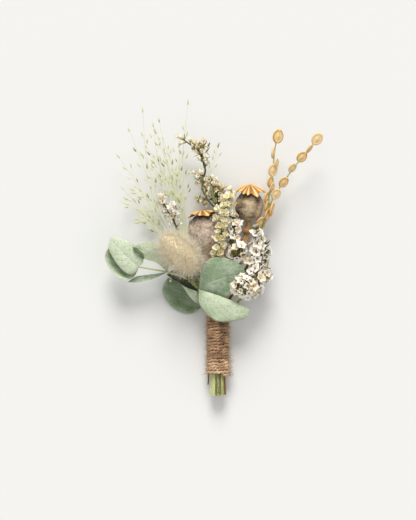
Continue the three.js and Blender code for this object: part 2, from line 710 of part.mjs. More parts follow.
function makeStaticeSmall(neighbours) {
  const common = { lean: 0.8, lift: 0.6, stalk: 0.7, form: GREY_FLORET };
  return makeStatice({
    stem: sprigStem({
      place: innerPlace(1),
      route: [[-3.6, 8, 5.2], [-8.2, 17.6, 6], [-14.6, 29.4, 7.2], [-19.6, 40, 8.2],
        [-22, 46.4, 9.6]],
      tipRadius: 0.45,
      cut: 0.2,
    }),
    branches: [
      {
        points: [[-19.6, 40, 8.2], [-22, 46.4, 9.6], [-25.4, 52, 11], [-29, 58, 12]],
        radius: 0.45,
        florets: { ...common, from: 0.3, to: 1, count: 10, seed: 41 },
      },
      {
        points: [[-22, 46.4, 9.6], [-20.8, 52, 11.4], [-21.8, 56, 12.6]],
        radius: 0.4,
        florets: { ...common, from: 0.3, to: 1, count: 5, seed: 42 },
      },
    ],
    bracts: [{ place: [-25.2, 51.8, 11], direction: [0.3, 1, 0.6] }],
    neighbours,
  });
}

function makeWhiteUpper(neighbours) {
  const common = { lean: 0.45, lift: 0.9, stalk: 0.7, form: WHITE_FLORET };
  return makeStatice({
    stem: sprigStem({
      place: outerPlace(7),
      route: [[6, 7.6, 6.6], [11.6, 17.4, 9.4], [14.6, 24, 11.4]],
      tipRadius: 0.7,
      cut: 0.5,
    }),
    branches: [
      {
        points: [[11.6, 17.4, 9.4], [10.6, 25, 11.6], [9.4, 33, 13.6], [9.6, 43, 14.6]],
        radius: 0.6,
        florets: { ...common, from: 0.42, to: 1, count: 7, seed: 51 },
      },
      {
        points: [[14.6, 24, 11.4], [17.2, 30, 14.2], [18.6, 36, 16], [19.2, 41.4, 17.2]],
        radius: 0.6,
        florets: { ...common, from: 0.2, to: 1, count: 9, seed: 52 },
      },
      {
        points: [[14.6, 24, 11.4], [19.4, 26.4, 13], [22.8, 29.6, 13.6], [24, 34, 13.8]],
        radius: 0.55,
        florets: { ...common, from: 0.35, to: 1, count: 8, seed: 53 },
      },
      {
        points: [[11.6, 17.4, 9.4], [17.6, 20.6, 12], [22.2, 22.6, 13.2], [23.4, 19.4, 14]],
        radius: 0.5,
        florets: { ...common, from: 0.55, to: 1, count: 5, seed: 54 },
      },
      {
        points: [[10.6, 25, 11.6], [7, 34, 12.4], [6, 41, 13], [7.2, 47.6, 13.4]],
        radius: 0.5,
        florets: { ...common, from: 0.4, to: 1, count: 8, seed: 55 },
      },
    ],
    bracts: [
      { place: [9.8, 31, 13], direction: [-0.4, 0.7, 0.9] },
      { place: [9.4, 34, 13.6], direction: [0.6, 0.5, 0.8] },
      { place: [22.6, 29.4, 13.6], direction: [1, 0.1, 0.4] },
      { place: [21.6, 28.4, 13.4], direction: [1, -0.3, 0.1] },
    ],
    neighbours,
  });
}

// The lower white head is a dome: rings of florets stand out of one small knot of stalks
function makeWhiteLower(neighbours) {
  const knot = [14, 14.8, 16];
  const knotRadius = 2.1;
  const stalk = 3.2;
  const stem = sprigStem({
    place: outerPlace(8),
    route: [[4.8, 2.6, 8.7], [9.8, 6, 10.3], [13, 10, 12.8], knot],
    tipRadius: 0.7,
    cut: 0.3,
  });
  const random = randomFrom(61);
  const centre = vector(knot);
  const core = new THREE.SphereGeometry(knotRadius, 8, 6);
  core.translate(...knot);
  const florets = [];
  const rings = [{ count: 10, tilt: 1.2 }, { count: 8, tilt: 0.74 }, { count: 3, tilt: 0.25 }];
  for (const { count, tilt } of rings) {
    for (let i = 0; i < count; i++) {
      const angle = 2 * Math.PI * (i + tilt) / count + random(-0.1, 0.1);
      const direction = new THREE.Vector3(
        Math.sin(tilt) * Math.cos(angle),
        Math.sin(tilt) * Math.sin(angle),
        Math.cos(tilt),
      );
      const root = centre.clone().addScaledVector(direction, knotRadius - 0.4);
      florets.push(floret(WHITE_FLORET, stalk + random(-0.3, 0.3), root, direction, angle));
    }
  }
  florets.push(spur({ radius: 0.9, length: 8.8 }, centre, new THREE.Vector3(-0.25, 0.45, 1)));
  return fuse([stem, solidOf(core), ...keepClear(florets, neighbours)]);
}

// Yellow-green flower spike: little stars close together all the way up one stem
function makeSpike(neighbours) {
  const place = innerPlace(0);
  const route = [[0.5, 8, 7.3], [0.9, 18, 8.6], [1, 27, 11], [1, 36, 12.8], [2.2, 46, 13.4],
    [4.4, 55.6, 13], [6.8, 61, 12.6]];
  const stem = sprigStem({ place, route, tipRadius: 0.45, cut: 0.7 });
  const florets = floretsAlong(smoothCurve(route.slice(2)), [], {
    from: 0.08,
    to: 1,
    count: 26,
    lean: 0.5,
    lift: 0.7,
    stalk: 0.3,
    form: YELLOW_FLORET,
    seed: 71,
  });
  return fuse([stem, ...keepClear(florets, neighbours)]);
}

// Golden seed pods: flat rimmed discs strung along two thin twigs, some seen face on, some on edge
const POD_TWIGS = [
  {
    points: [[24.6, 52, 9.6], [25.4, 58, 11], [26.6, 66, 13], [27.4, 74, 14.4], [28.2, 82, 15.4],
      [29.6, 87, 16]],
    pods: [
      { centre: [24.6, 58.6, 11.4], width: 4.2, edge: 0.9 },
      { centre: [26.2, 63.4, 12.2], width: 4.6, edge: 1.2 },
      { centre: [25.8, 66.9, 13.2], width: 4.4, edge: 0.8 },
      { centre: [27, 71.6, 14.2], width: 5.6, edge: 0.15 },
      { centre: [29, 76.4, 14.6], width: 4.8, edge: 1.2 },
      { centre: [27.8, 80.2, 15.2], width: 4.2, edge: 1.1 },
      { centre: [29.7, 88.6, 16.2], width: 5.8, edge: 0.3 },
    ],
  },
  {
    points: [[24.6, 52, 9.6], [28.4, 59.6, 11.6], [33, 66.4, 13.4], [38, 73.4, 15], [43.6, 79.8, 16.4],
      [48, 85.8, 17.4]],
    pods: [
      { centre: [28.6, 60.4, 12], width: 4.8, edge: 0.4 },
      { centre: [32.6, 65.8, 13.4], width: 4.8, edge: 0.7 },
      { centre: [36.8, 72.4, 15], width: 3.8, edge: 0.2 },
      { centre: [41.4, 77.8, 16], width: 4.6, edge: 0.7 },
      { centre: [45.4, 82, 17], width: 4.8, edge: 1.1 },
      { centre: [48.9, 86.8, 17.6], width: 5.2, edge: 0.2 },
    ],
  },
  {
    points: [[22, 42, 6], [23.6, 46.6, 8], [24.6, 52, 9.6]],
    pods: [
      { centre: [22.9, 44.2, 8.2], width: 5, edge: 0.5 },
      { centre: [24.6, 48.8, 9], width: 5, edge: 0.8 },
      { centre: [26.8, 54.4, 10.6], width: 4.6, edge: 1 },
    ],
  },
];

function makePod({ centre, width, edge }, tangent) {
  const radius = width / 2;
  const outline = [[0, -0.5], [0.94, -0.3], [0.94, 0.3], [0, 0.5]];
  const profile = outline.map(([r, h]) => new THREE.Vector2(r * radius, h * POD_THICKNESS));
  const geometry = new THREE.LatheGeometry(profile, 8);
  geometry.rotateX(Math.PI / 2);
  geometry.scale(1, 1.22, 1);
  geometry.rotateY(edge);
  const turn = Math.atan2(-tangent.x, tangent.y);
  geometry.rotateZ(turn);
  geometry.translate(...centre);
  return solidOf(geometry);
}

function makePods(neighbours) {
  const stem = sprigStem({
    place: outerPlace(6),
    route: [[6.6, 9, 3.2], [13.4, 22, 3.2], [19.6, 35, 4.2], [22, 42, 6], [23.6, 46.6, 8]],
    tipRadius: 0.6,
    cut: 0.2,
  });
  const pieces = [];
  for (const { points, pods } of POD_TWIGS) {
    const curve = smoothCurve(points);
    pieces.push(stemAlong(curve, 0.6, 0.45, { sides: 3 }));
    for (const pod of pods) {
      const tangent = curve.getTangent(nearestOn(curve, vector(pod.centre)));
      pieces.push(makePod(pod, tangent));
    }
  }
  return fuse([stem, ...keepClear(pieces, neighbours)]);
}

function nearestOn(curve, point) {
  const steps = 40;
  let best = 0;
  for (let i = 1; i <= steps; i++) {
    const nearer = curve.getPoint(i / steps).distanceTo(point);
    if (nearer < curve.getPoint(best).distanceTo(point)) best = i / steps;
  }
  return best;
}

// Assembly, with stiffer sprigs first so that the florets of the later ones keep clear of them
const finishes = {
  twine: { color: 0x987a5f, roughness: 0.95 },
  eucalyptus: { color: 0xa9bd9a, roughness: 0.7 },
  tail: { color: 0xd9c6a0, roughness: 1 },
  straw: { color: 0xab8d5a, roughness: 0.8 },
  capsule: { color: 0xa8957a, roughness: 0.85 },
  crown: { color: 0xdca85a, roughness: 0.7 },
  grass: { color: 0xb9c39a, roughness: 0.85 },
  papery: { color: 0xece8dd, roughness: 0.9 },
  beige: { color: 0xd8cbb0, roughness: 0.9 },
  yellow: { color: 0xcbc486, roughness: 0.85 },
  pod: { color: 0xd9b67c, roughness: 0.6 },
};

const group = new THREE.Group();

function addPiece(name, solid, finish) {
  const material = new THREE.MeshStandardMaterial({ ...finishes[finish], metalness: 0 });
  const mesh = new THREE.Mesh(geometryOf(solid), material);
  mesh.name = name;
  group.add(mesh);
  return solid;
}

const twine = addPiece('twine_wrap', makeTwine(), 'twine');
const eucalyptusLeft = addPiece('eucalyptus_left', makeEucalyptusLeft(), 'eucalyptus');
const eucalyptusRight = addPiece('eucalyptus_right', makeEucalyptusRight(), 'eucalyptus');
const tailStem = addPiece('bunny_tail_stem', makeBunnyStem(), 'straw');
const besideTail = [eucalyptusLeft, eucalyptusRight, tailStem];
const bunnyHead = addPiece('bunny_tail_head', makeBunnyHead(besideTail), 'tail');
const poppies = [
  addPiece('poppy_left_capsule', makeCapsule(LEFT_POPPY), 'capsule'),
  addPiece('poppy_left_stem', makeLeftPoppyStem(), 'straw'),
  addPiece('poppy_left_crown', makeCrown(LEFT_POPPY), 'crown'),
  addPiece('poppy_right_capsule', makeCapsule(RIGHT_POPPY), 'capsule'),
  addPiece('poppy_right_stem', makeRightPoppyStem(), 'straw'),
  addPiece('poppy_right_crown', makeCrown(RIGHT_POPPY), 'crown'),
];
const built = [twine, eucalyptusLeft, eucalyptusRight, bunnyHead, tailStem, ...poppies];
const sprays = [
  ['yellow_spike', makeSpike, 'yellow'],
  ['seed_pod_spray', makePods, 'pod'],
  ['statice_top', makeStaticeTop, 'beige'],
  ['statice_small', makeStaticeSmall, 'beige'],
  ['statice_white_lower', makeWhiteLower, 'papery'],
  ['statice_white_upper', makeWhiteUpper, 'papery'],
  ['grass_spray', makeGrass, 'grass'],
];
for (const [name, make, finish] of sprays) built.push(addPiece(name, make(built), finish));

// The origin goes to the bottom centre of the whole object's box
const box = new THREE.Box3().setFromObject(group);
const middle = box.getCenter(new THREE.Vector3());
group.position.set(-middle.x, -middle.y, -box.min.z);

export default group;
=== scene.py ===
# %% [markdown]
# A dried-flower boutonniere, lying flat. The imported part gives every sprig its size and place.
# This lesson dresses it: each sprig is made again with the fine shapes and finishes of the real
# plant, in the same place, and stands for the plain solid.

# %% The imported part
import math

import bmesh
import bpy
import numpy as np
from mathutils import Matrix, Vector, noise


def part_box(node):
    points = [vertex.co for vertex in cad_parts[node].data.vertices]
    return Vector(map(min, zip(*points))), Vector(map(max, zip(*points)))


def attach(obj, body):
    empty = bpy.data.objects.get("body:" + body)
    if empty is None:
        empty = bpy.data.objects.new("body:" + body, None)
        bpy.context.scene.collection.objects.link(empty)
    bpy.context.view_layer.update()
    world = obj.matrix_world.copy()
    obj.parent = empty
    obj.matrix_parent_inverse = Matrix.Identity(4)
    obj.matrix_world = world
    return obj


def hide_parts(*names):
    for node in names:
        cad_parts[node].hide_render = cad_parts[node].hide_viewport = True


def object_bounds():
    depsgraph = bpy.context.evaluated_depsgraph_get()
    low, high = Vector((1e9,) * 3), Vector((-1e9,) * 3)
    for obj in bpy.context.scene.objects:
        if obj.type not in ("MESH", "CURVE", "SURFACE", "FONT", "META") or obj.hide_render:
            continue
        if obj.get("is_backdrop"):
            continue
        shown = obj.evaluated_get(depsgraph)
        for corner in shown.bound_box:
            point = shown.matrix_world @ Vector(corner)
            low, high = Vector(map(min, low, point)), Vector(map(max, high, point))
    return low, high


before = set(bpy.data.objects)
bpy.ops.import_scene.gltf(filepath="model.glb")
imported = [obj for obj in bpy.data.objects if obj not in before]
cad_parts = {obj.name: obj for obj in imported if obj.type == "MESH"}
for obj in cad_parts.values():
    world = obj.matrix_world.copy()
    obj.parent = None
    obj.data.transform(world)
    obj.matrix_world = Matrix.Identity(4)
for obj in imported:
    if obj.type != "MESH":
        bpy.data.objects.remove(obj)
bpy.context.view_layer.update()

# %% [markdown]
# All places below are in millimetres from the tie point: the middle of the handle where the
# twine starts, with z counted from the table. The twine's box says where that is in the part.

# %% Millimetres from the tie point
MM = 0.001
wrap_low, wrap_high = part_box("twine_wrap")
TIE = np.array([(wrap_low.x + wrap_high.x) / 2, wrap_high.y, wrap_low.z])


def to_row(places):
    """Millimetres from the tie point, as metres in the part's frame."""
    return np.asarray(places, float) * MM + TIE


print("tie point in mm:", (TIE / MM).round(2))

# %% [markdown]
# Plants grow in smooth curves. This one passes through every knot it is given, with no
# overshoot where the knots stand unevenly, so a route can be written as a handful of places.


# %% A smooth curve through knots
def smooth(knots, count):
    """A number of places, evenly spread on a smooth curve through all the knots."""
    knots = np.asarray(knots, float)
    padded = np.vstack([2 * knots[0] - knots[1], knots, 2 * knots[-1] - knots[-2]])
    spans = len(knots) - 1
    where = np.linspace(0, 1, count) * spans
    span = np.minimum(where.astype(int), spans - 1)
    t = (where - span)[:, None]
    a, b, c, d = (padded[span + i] for i in range(4))
    pairs = ((a, b), (b, c), (c, d))
    ab, bc, cd = (np.linalg.norm(q - p, axis=1, keepdims=True) ** 0.5 for p, q in pairs)
    leave = ((b - a) / ab - (c - a) / (ab + bc) + (c - b) / bc) * bc
    arrive = ((c - b) / bc - (d - b) / (bc + cd) + (d - c) / cd) * bc
    cubic = 2 * b - 2 * c + leave + arrive
    square = 3 * c - 3 * b - 2 * leave - arrive
    return b + leave * t + square * t**2 + cubic * t**3


def unit(vectors):
    """The same directions with length one."""
    vectors = np.asarray(vectors, float)
    return vectors / np.maximum(np.linalg.norm(vectors, axis=-1, keepdims=True), 1e-12)


def turn_to(direction):
    """A 3 by 3 turn that takes +Z to a direction."""
    return np.array(Vector((0, 0, 1)).rotation_difference(Vector(direction)).to_matrix())


def headings(path):
    """The direction of a path at each of its points."""
    return unit(np.gradient(np.asarray(path, float), axis=0))


# %% [markdown]
# A mesh needs points and faces. Beside them each point carries named numbers, such as how far
# along its stem it is or how its own leaf is tinted, and the materials read those later.


# %% Meshes with named numbers on their points
class Pile:
    """Gathers the points, faces and point numbers of several shapes that become one mesh."""

    def __init__(self):
        self.points, self.faces, self.edges, self.numbers, self.total = [], [], [], {}, 0

    def add(self, points, faces=(), edges=(), **numbers):
        points = np.asarray(points, float)
        self.points.append(points)
        self.faces += [[i + self.total for i in face] for face in faces]
        self.edges += [[i + self.total for i in edge] for edge in edges]
        for name, values in numbers.items():
            values = np.asarray(values, np.float32)
            if values.ndim == 0:
                values = np.full(len(points), values)
            self.numbers.setdefault(name, []).append(values)
        self.total += len(points)

    def make(self, name, *materials, at=TIE):
        """The mesh object of the pile in metres, counted from a place in the part's frame."""
        mesh = bpy.data.meshes.new(name)
        mesh.from_pydata((np.vstack(self.points) * MM + at).tolist(), self.edges, self.faces)
        for field, parts in self.numbers.items():
            values = np.concatenate(parts)
            kind, key = ("FLOAT", "value") if values.ndim == 1 else ("FLOAT_VECTOR", "vector")
            mesh.attributes.new(field, kind, "POINT").data.foreach_set(key, values.ravel())
        for material in materials:
            mesh.materials.append(material)
        piece = bpy.data.objects.new(name, mesh)
        bpy.context.scene.collection.objects.link(piece)
        return piece


def grid_faces(rows, columns, around=False):
    """Quads between neighbouring rows of points; around joins the last column to the first."""
    strips = columns if around else columns - 1
    return [
        (r * columns + c, r * columns + (c + 1) % columns,
         (r + 1) * columns + (c + 1) % columns, (r + 1) * columns + c)
        for r in range(rows - 1)
        for c in range(strips)
    ]


def chain_edges(path):
    """Edges that join each point of a path to the next."""
    return [(i, i + 1) for i in range(len(path) - 1)]


def ring(columns):
    """Angles once round, evenly spread."""
    return np.linspace(0, 2 * math.pi, columns, endpoint=False)


def turned(radius, height, angle, flat=1.0):
    """Rings of points round Z, from a column or a grid of radii and heights, squeezed in Y."""
    x, y = radius * np.cos(angle), radius * np.sin(angle)
    return np.stack([x, flat * y, height + 0 * x], -1).reshape(-1, 3)


def weld(piece):
    """Joins points that share a place, turns the faces outwards and shades them smooth."""
    bm = bmesh.new()
    bm.from_mesh(piece.data)
    bmesh.ops.remove_doubles(bm, verts=bm.verts, dist=0.00001)
    bmesh.ops.recalc_face_normals(bm, faces=bm.faces)
    for face in bm.faces:
        face.smooth = True
    bm.to_mesh(piece.data)
    bm.free()
    return piece


def wave_at(places, size, seed=0.0):
    """Smooth random numbers from -1 to 1 at places in millimetres, in lumps of a given size."""
    return np.array([noise.noise(Vector(p) / size + Vector((seed, 0, 0))) for p in places])


def dress(piece, slot, *nodes):
    """The piece rides on the part and stands for CAD nodes; slot is not used."""
    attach(piece, "root")
    if nodes:
        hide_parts(*nodes)
    piece.data.calc_loop_triangles()
    print(piece.name, "triangles:", len(piece.data.loop_triangles))
    return piece


# %% [markdown]
# Materials are node trees. Colours are written as sRGB hex values, as a colour picker shows
# them, and one function turns them into the linear light that the renderer adds up. One more
# function adds a node with its settings and its links, and every material below uses it.


# %% Colours and nodes
def colour(code):
    """An sRGB hex colour as linear red, green, blue and an alpha of one."""
    parts = [int(code[i:i + 2], 16) / 255 for i in (1, 3, 5)]
    return [p / 12.92 if p <= 0.04045 else ((p + 0.055) / 1.055) ** 2.4 for p in parts] + [1.0]


def live(node):
    """The first output that a node has in use, such as Result of a mix of two colours."""
    return next(socket for socket in node.outputs if socket.enabled)


def add(tree, kind, settings=None, links=None, stops=None, to=None):
    """Adds a node: settings are its own properties, links its inputs, stops a ramp's colours,
    and to is the input that it feeds. A node among the links stands for its live output."""
    node = tree.nodes.new(kind)
    for name, value in (settings or {}).items():
        setattr(node, name, value)
    for key, value in (links or {}).items():
        if isinstance(value, bpy.types.Node):
            value = live(value)
        if isinstance(value, bpy.types.NodeSocket):
            tree.links.new(value, node.inputs[key])
        else:
            node.inputs[key].default_value = value
    for i, (place, code) in enumerate((stops or {}).items()):
        ramp = node.color_ramp.elements
        element = ramp[i] if i < 2 else ramp.new(place)
        element.position, element.color = place, colour(code)
    if to:
        tree.links.new(live(node), to)
    return node


def new_material(name, roughness, **constants):
    """An empty material: its tree and its surface shader, with the surface's fixed values."""
    material = bpy.data.materials.new(name)
    material.use_nodes = True
    tree = material.node_tree
    tree.nodes.clear()
    surface = add(tree, "ShaderNodeBsdfPrincipled", links={"Roughness": roughness, **constants})
    add(tree, "ShaderNodeOutputMaterial", links={"Surface": surface})
    print("material:", name)
    return material, tree, surface


def graded(tree, number, noise, weight, shift, stops, to=None):
    """Colours picked by a number, which noise of some weight shifts from spot to spot."""
    varied = add(tree, "ShaderNodeMath", {"operation": "MULTIPLY_ADD"},
                 {0: noise, 1: weight, 2: number})
    moved = add(tree, "ShaderNodeMath", {"operation": "SUBTRACT"}, {0: varied, 1: shift})
    return add(tree, "ShaderNodeValToRGB", links={0: moved}, stops=stops, to=to)


# A mix node has inputs for each kind of value, and these two are for colours
MIX_A, MIX_B = 6, 7
SHEEN = {"Sheen Weight": 0.25, "Sheen Roughness": 0.5}

# %% [markdown]
# Geometry Nodes do what repeats or follows a path. Each tree here has named inputs, a fixed
# seed, and ends by realising its instances and setting its material. The result is turned into
# a plain mesh at once, so nothing live is left on a finished piece.


# %% Building and running geometry trees
KINDS = {
    float: "NodeSocketFloat",
    int: "NodeSocketInt",
    "material": "NodeSocketMaterial",
    "object": "NodeSocketObject",
    "vector": "NodeSocketVector",
}


def new_tree(name, **inputs):
    """A geometry tree, its input node and a function that closes it; inputs are named values."""
    tree = bpy.data.node_groups.new(name, "GeometryNodeTree")
    tree.interface.new_socket("Geometry", in_out="OUTPUT", socket_type="NodeSocketGeometry")
    tree.interface.new_socket("Geometry", in_out="INPUT", socket_type="NodeSocketGeometry")
    for title, value in inputs.items():
        kind = KINDS[value] if isinstance(value, str) else KINDS[type(value)]
        socket = tree.interface.new_socket(title, in_out="INPUT", socket_type=kind)
        if not isinstance(value, str):
            socket.default_value = value
    start = tree.nodes.new("NodeGroupInput")

    def close(geometry):
        real = add(tree, "GeometryNodeRealizeInstances", links={"Geometry": geometry})
        material = {"Geometry": real, "Material": start.outputs["Material"]}
        painted = add(tree, "GeometryNodeSetMaterial", links=material)
        add(tree, "NodeGroupOutput", links={"Geometry": painted})
        print("tree:", name, "with inputs", list(inputs))

    return tree, start, close


def grow(piece, tree, **values):
    """Runs a tree on an object and leaves the result on it as a plain mesh."""
    modifier = piece.modifiers.new(tree.name, "NODES")
    modifier.node_group = tree
    for item in tree.interface.items_tree:
        if item.in_out == "INPUT" and item.name in values:
            modifier[item.identifier] = values[item.name]
    depsgraph = bpy.context.evaluated_depsgraph_get()
    grown = bpy.data.meshes.new_from_object(
        piece.evaluated_get(depsgraph), preserve_all_data_layers=True, depsgraph=depsgraph)
    piece.modifiers.clear()
    piece.data = grown
    return piece


# %% [markdown]
# Stems, twigs and grass are round and taper along a path. The path is a chain of edges whose
# points carry their own girth. The tree turns the chain into a curve and sweeps a circle along it.

# %% The stem tree
stem_tree, start, close = new_tree("stems", Sides=8, Material="material")
circle = add(stem_tree, "GeometryNodeCurvePrimitiveCircle",
             links={"Resolution": start.outputs["Sides"], "Radius": 1.0})
girth = add(stem_tree, "GeometryNodeInputNamedAttribute", links={"Name": "girth"})
chain = add(stem_tree, "GeometryNodeMeshToCurve", links={"Mesh": start.outputs["Geometry"]})
swept = add(stem_tree, "GeometryNodeCurveToMesh",
            links={"Curve": chain, "Profile Curve": circle,
                   "Scale": girth, "Fill Caps": True})
close(add(stem_tree, "GeometryNodeSetShadeSmooth", links={"Geometry": swept}))


PITH_DEPTH = 0.06


class Stems:
    """Gathers paths with their girths and grows them into one mesh of stems."""

    def __init__(self):
        self.pile = Pile()

    def add(self, path, root, tip, tint=0.5, capped=False):
        """A path in millimetres; root and tip are its radii, tint its shade of colour."""
        path = np.asarray(path, float)
        along = np.linspace(0, 1, len(path))
        if capped:
            # A very short first step keeps the pale pith to the cut itself
            path = np.vstack([path[0], path[0] + PITH_DEPTH * unit(path[1] - path[0]), path[1:]])
            along = np.insert(along, 1, along[1] * 0.1)
        girths = (root + (tip - root) * along) * MM
        self.pile.add(path, edges=chain_edges(path), girth=girths, along=along, tint=tint)

    def grow(self, name, material, sides=8):
        return grow(self.pile.make(name), stem_tree, Sides=sides, Material=material)


# %% [markdown]
# Small flowers, pods and seed heads are one shape set many times. The tree puts a copy of the
# shape on every point of a mesh and reads the turn, the size and the tint that the point carries.

# %% The tree that sets copies on points
set_tree, start, close = new_tree("copies_on_points", Copy="object", Material="material")
shape = add(set_tree, "GeometryNodeObjectInfo", links={"Object": start.outputs["Copy"]})
turn = add(set_tree, "GeometryNodeInputNamedAttribute", {"data_type": "FLOAT_VECTOR"},
           {"Name": "turn"})
rotation = add(set_tree, "FunctionNodeEulerToRotation", links={0: turn})
stretch = add(set_tree, "GeometryNodeInputNamedAttribute", {"data_type": "FLOAT_VECTOR"},
              {"Name": "stretch"})
copies = add(set_tree, "GeometryNodeInstanceOnPoints",
             links={"Points": start.outputs["Geometry"], "Instance": shape.outputs["Geometry"],
                    "Rotation": rotation, "Scale": stretch})
close(copies)


class Copies:
    """Gathers the places of one shape and sets a copy on each."""

    def __init__(self):
        self.pile = Pile()

    def add(self, place, facing, spin, size, tint, upright=(0.01, 0, 1)):
        """Turns the shape's +Z to facing and its +Y as near to upright as it can, then spins it."""
        z = unit(facing)
        x = unit(np.cross(upright, z))
        y = np.cross(z, x)
        x, y = x * math.cos(spin) + y * math.sin(spin), y * math.cos(spin) - x * math.sin(spin)
        euler = Matrix((x, y, z)).transposed().to_euler()
        size = np.broadcast_to(np.asarray(size, float), 3)
        self.pile.add([place], turn=[tuple(euler)], stretch=[size], tint=[tint])

    def grow(self, name, shape_piece, material):
        return grow(self.pile.make(name), set_tree, Copy=shape_piece, Material=material)


def put_away(shape_piece):
    """Deletes a shape that was only copied."""
    bpy.data.objects.remove(shape_piece, do_unlink=True)


# %% [markdown]
# The stems of all sprigs run straight through the handle, nine round the outside and three in
# the middle, then each takes its own route. Dry stems are straw brown, sappier ones stay green.
# Fine furrows run along them, and the cut end shows pale pith.

# %% The dry stem's material
def stem_material(name, stops, flecks=0.0):
    """Dry plant stem: tint picks the shade from the stops, with streaks and furrows along it."""
    material, tree, surface = new_material(name, 0.75)
    tint, along = (add(tree, "ShaderNodeAttribute", {"attribute_name": field}).outputs["Fac"]
                   for field in ("tint", "along"))
    place = add(tree, "ShaderNodeTexCoord").outputs["Object"]
    # Furrows are about 0.25 mm apart and centimetres long
    stretched = add(tree, "ShaderNodeMapping", links={0: place, "Scale": (3000, 300, 3000)})
    streaks = add(tree, "ShaderNodeTexNoise",
                  links={"Vector": stretched, "Scale": 1.0, "Detail": 4.0})
    shade = graded(tree, tint, streaks, 1.2, 0.6, stops)
    # Pale flecks half a millimetre long, where the skin has cracked
    crack = add(tree, "ShaderNodeMapping", links={0: place, "Scale": (2600, 1100, 2600)})
    cracks = add(tree, "ShaderNodeTexNoise", links={"Vector": crack, "Scale": 1.0, "Detail": 1.0})
    fleck = add(tree, "ShaderNodeMapRange", links={0: cracks, 1: 0.52, 2: 0.57, 3: 0.0, 4: flecks})
    flecked = add(tree, "ShaderNodeMix", {"data_type": "RGBA"},
                  {0: fleck, MIX_A: shade, MIX_B: colour("#dfe0ae")})
    pith = add(tree, "ShaderNodeMath", {"operation": "LESS_THAN"}, {0: along, 1: 0.0015})
    add(tree, "ShaderNodeMix", {"data_type": "RGBA"},
        {0: pith, MIX_A: flecked, MIX_B: colour("#d9d2a6")}, to=surface.inputs["Base Color"])
    add(tree, "ShaderNodeBump", links={"Strength": 0.4, "Distance": 0.00008, "Height": streaks},
        to=surface.inputs["Normal"])
    return material


# tint 0 is pale yellow green, 0.5 sap green, 1 straw brown
DRY_STEM = stem_material("dry_green_and_straw_stem", {
    0.0: "#cccd97", 0.3: "#9ba665", 0.55: "#505f2f", 0.78: "#9a8850", 0.95: "#d9ad7e",
    1.0: "#cb8650",
}, flecks=0.5)


# %% Bracts
def small_bract(pile, place, direction, length, width, tint):
    """A slim boat-shaped bract, pointed at both ends."""
    rows, columns = 7, 6
    reach = np.linspace(0, 1, rows)
    radius = width * np.sin(math.pi * reach**0.8)
    shape = turned(radius[:, None], length * reach[:, None], ring(columns), flat=0.35)
    pile.add(shape @ turn_to(unit(direction)).T + place, grid_faces(rows, columns, around=True),
             along=np.repeat(reach, columns), tint=tint)


# %% Routes of the stems
HANDLE_LENGTH = 41
BUNDLE_HEIGHT = 5.477
WRAP_LENGTH = 31.0
CUT_SPREAD = 1.12
ROUTE_STEPS = 70
OUTER_RING, OUTER_STEMS, OUTER_GIRTH = 2.9, 9, 0.92
INNER_RING, INNER_STEMS, INNER_GIRTH = 1.0, 3, 0.75


def stem_route(ring_radius, turn, route, cut):
    """A stem's path: through the handle at a ring radius and a turn in degrees, then its route."""
    x = ring_radius * math.cos(math.radians(90 + turn))
    z = ring_radius * math.sin(math.radians(90 + turn))
    end = (CUT_SPREAD * x, cut - HANDLE_LENGTH, BUNDLE_HEIGHT + CUT_SPREAD * z)
    handle = [end, *((x, y, BUNDLE_HEIGHT + z) for y in (-WRAP_LENGTH, -3, 0.8))]
    return smooth([*handle, *route], ROUTE_STEPS)


def outer(number, route, cut):
    """The path and the girth of a stem in the outer ring; cut is how much shorter it is."""
    return stem_route(OUTER_RING, 360 / OUTER_STEMS * number, route, cut), OUTER_GIRTH


def inner(number, route, cut):
    """The same for a stem in the middle."""
    return stem_route(INNER_RING, 360 / INNER_STEMS * number, route, cut), INNER_GIRTH


# %% [markdown]
# The handle is bound with jute twine: two plies of long brown fibres twisted round each other.
# The tree follows one long helix. It moves two copies of it off the path in opposite
# directions, turning as they go, and sweeps a star along each, so every ply shows its strands.

# %% The twisted yarn tree
yarn_tree, start, close = new_tree(
    "two_ply_yarn", Ply_radius=0.00053, Ply_offset=0.00032, Twist_length=0.0042, Strands=6,
    Material="material")
chain = add(yarn_tree, "GeometryNodeMeshToCurve", links={"Mesh": start.outputs["Geometry"]})
parameter = add(yarn_tree, "GeometryNodeSplineParameter")
across = add(yarn_tree, "GeometryNodeInputNormal")
heading = add(yarn_tree, "GeometryNodeInputTangent")
third = add(yarn_tree, "ShaderNodeVectorMath", {"operation": "CROSS_PRODUCT"},
            {0: across, 1: heading})
turns = add(yarn_tree, "ShaderNodeMath", {"operation": "DIVIDE"},
            {0: parameter.outputs["Length"], 1: start.outputs["Twist_length"]})
strand_radius = add(yarn_tree, "ShaderNodeMath", {"operation": "MULTIPLY"},
                    {0: start.outputs["Ply_radius"], 1: 0.78})
star = add(yarn_tree, "GeometryNodeCurveStar",
           links={"Points": start.outputs["Strands"], "Inner Radius": strand_radius,
                  "Outer Radius": start.outputs["Ply_radius"]})
both = add(yarn_tree, "GeometryNodeJoinGeometry")
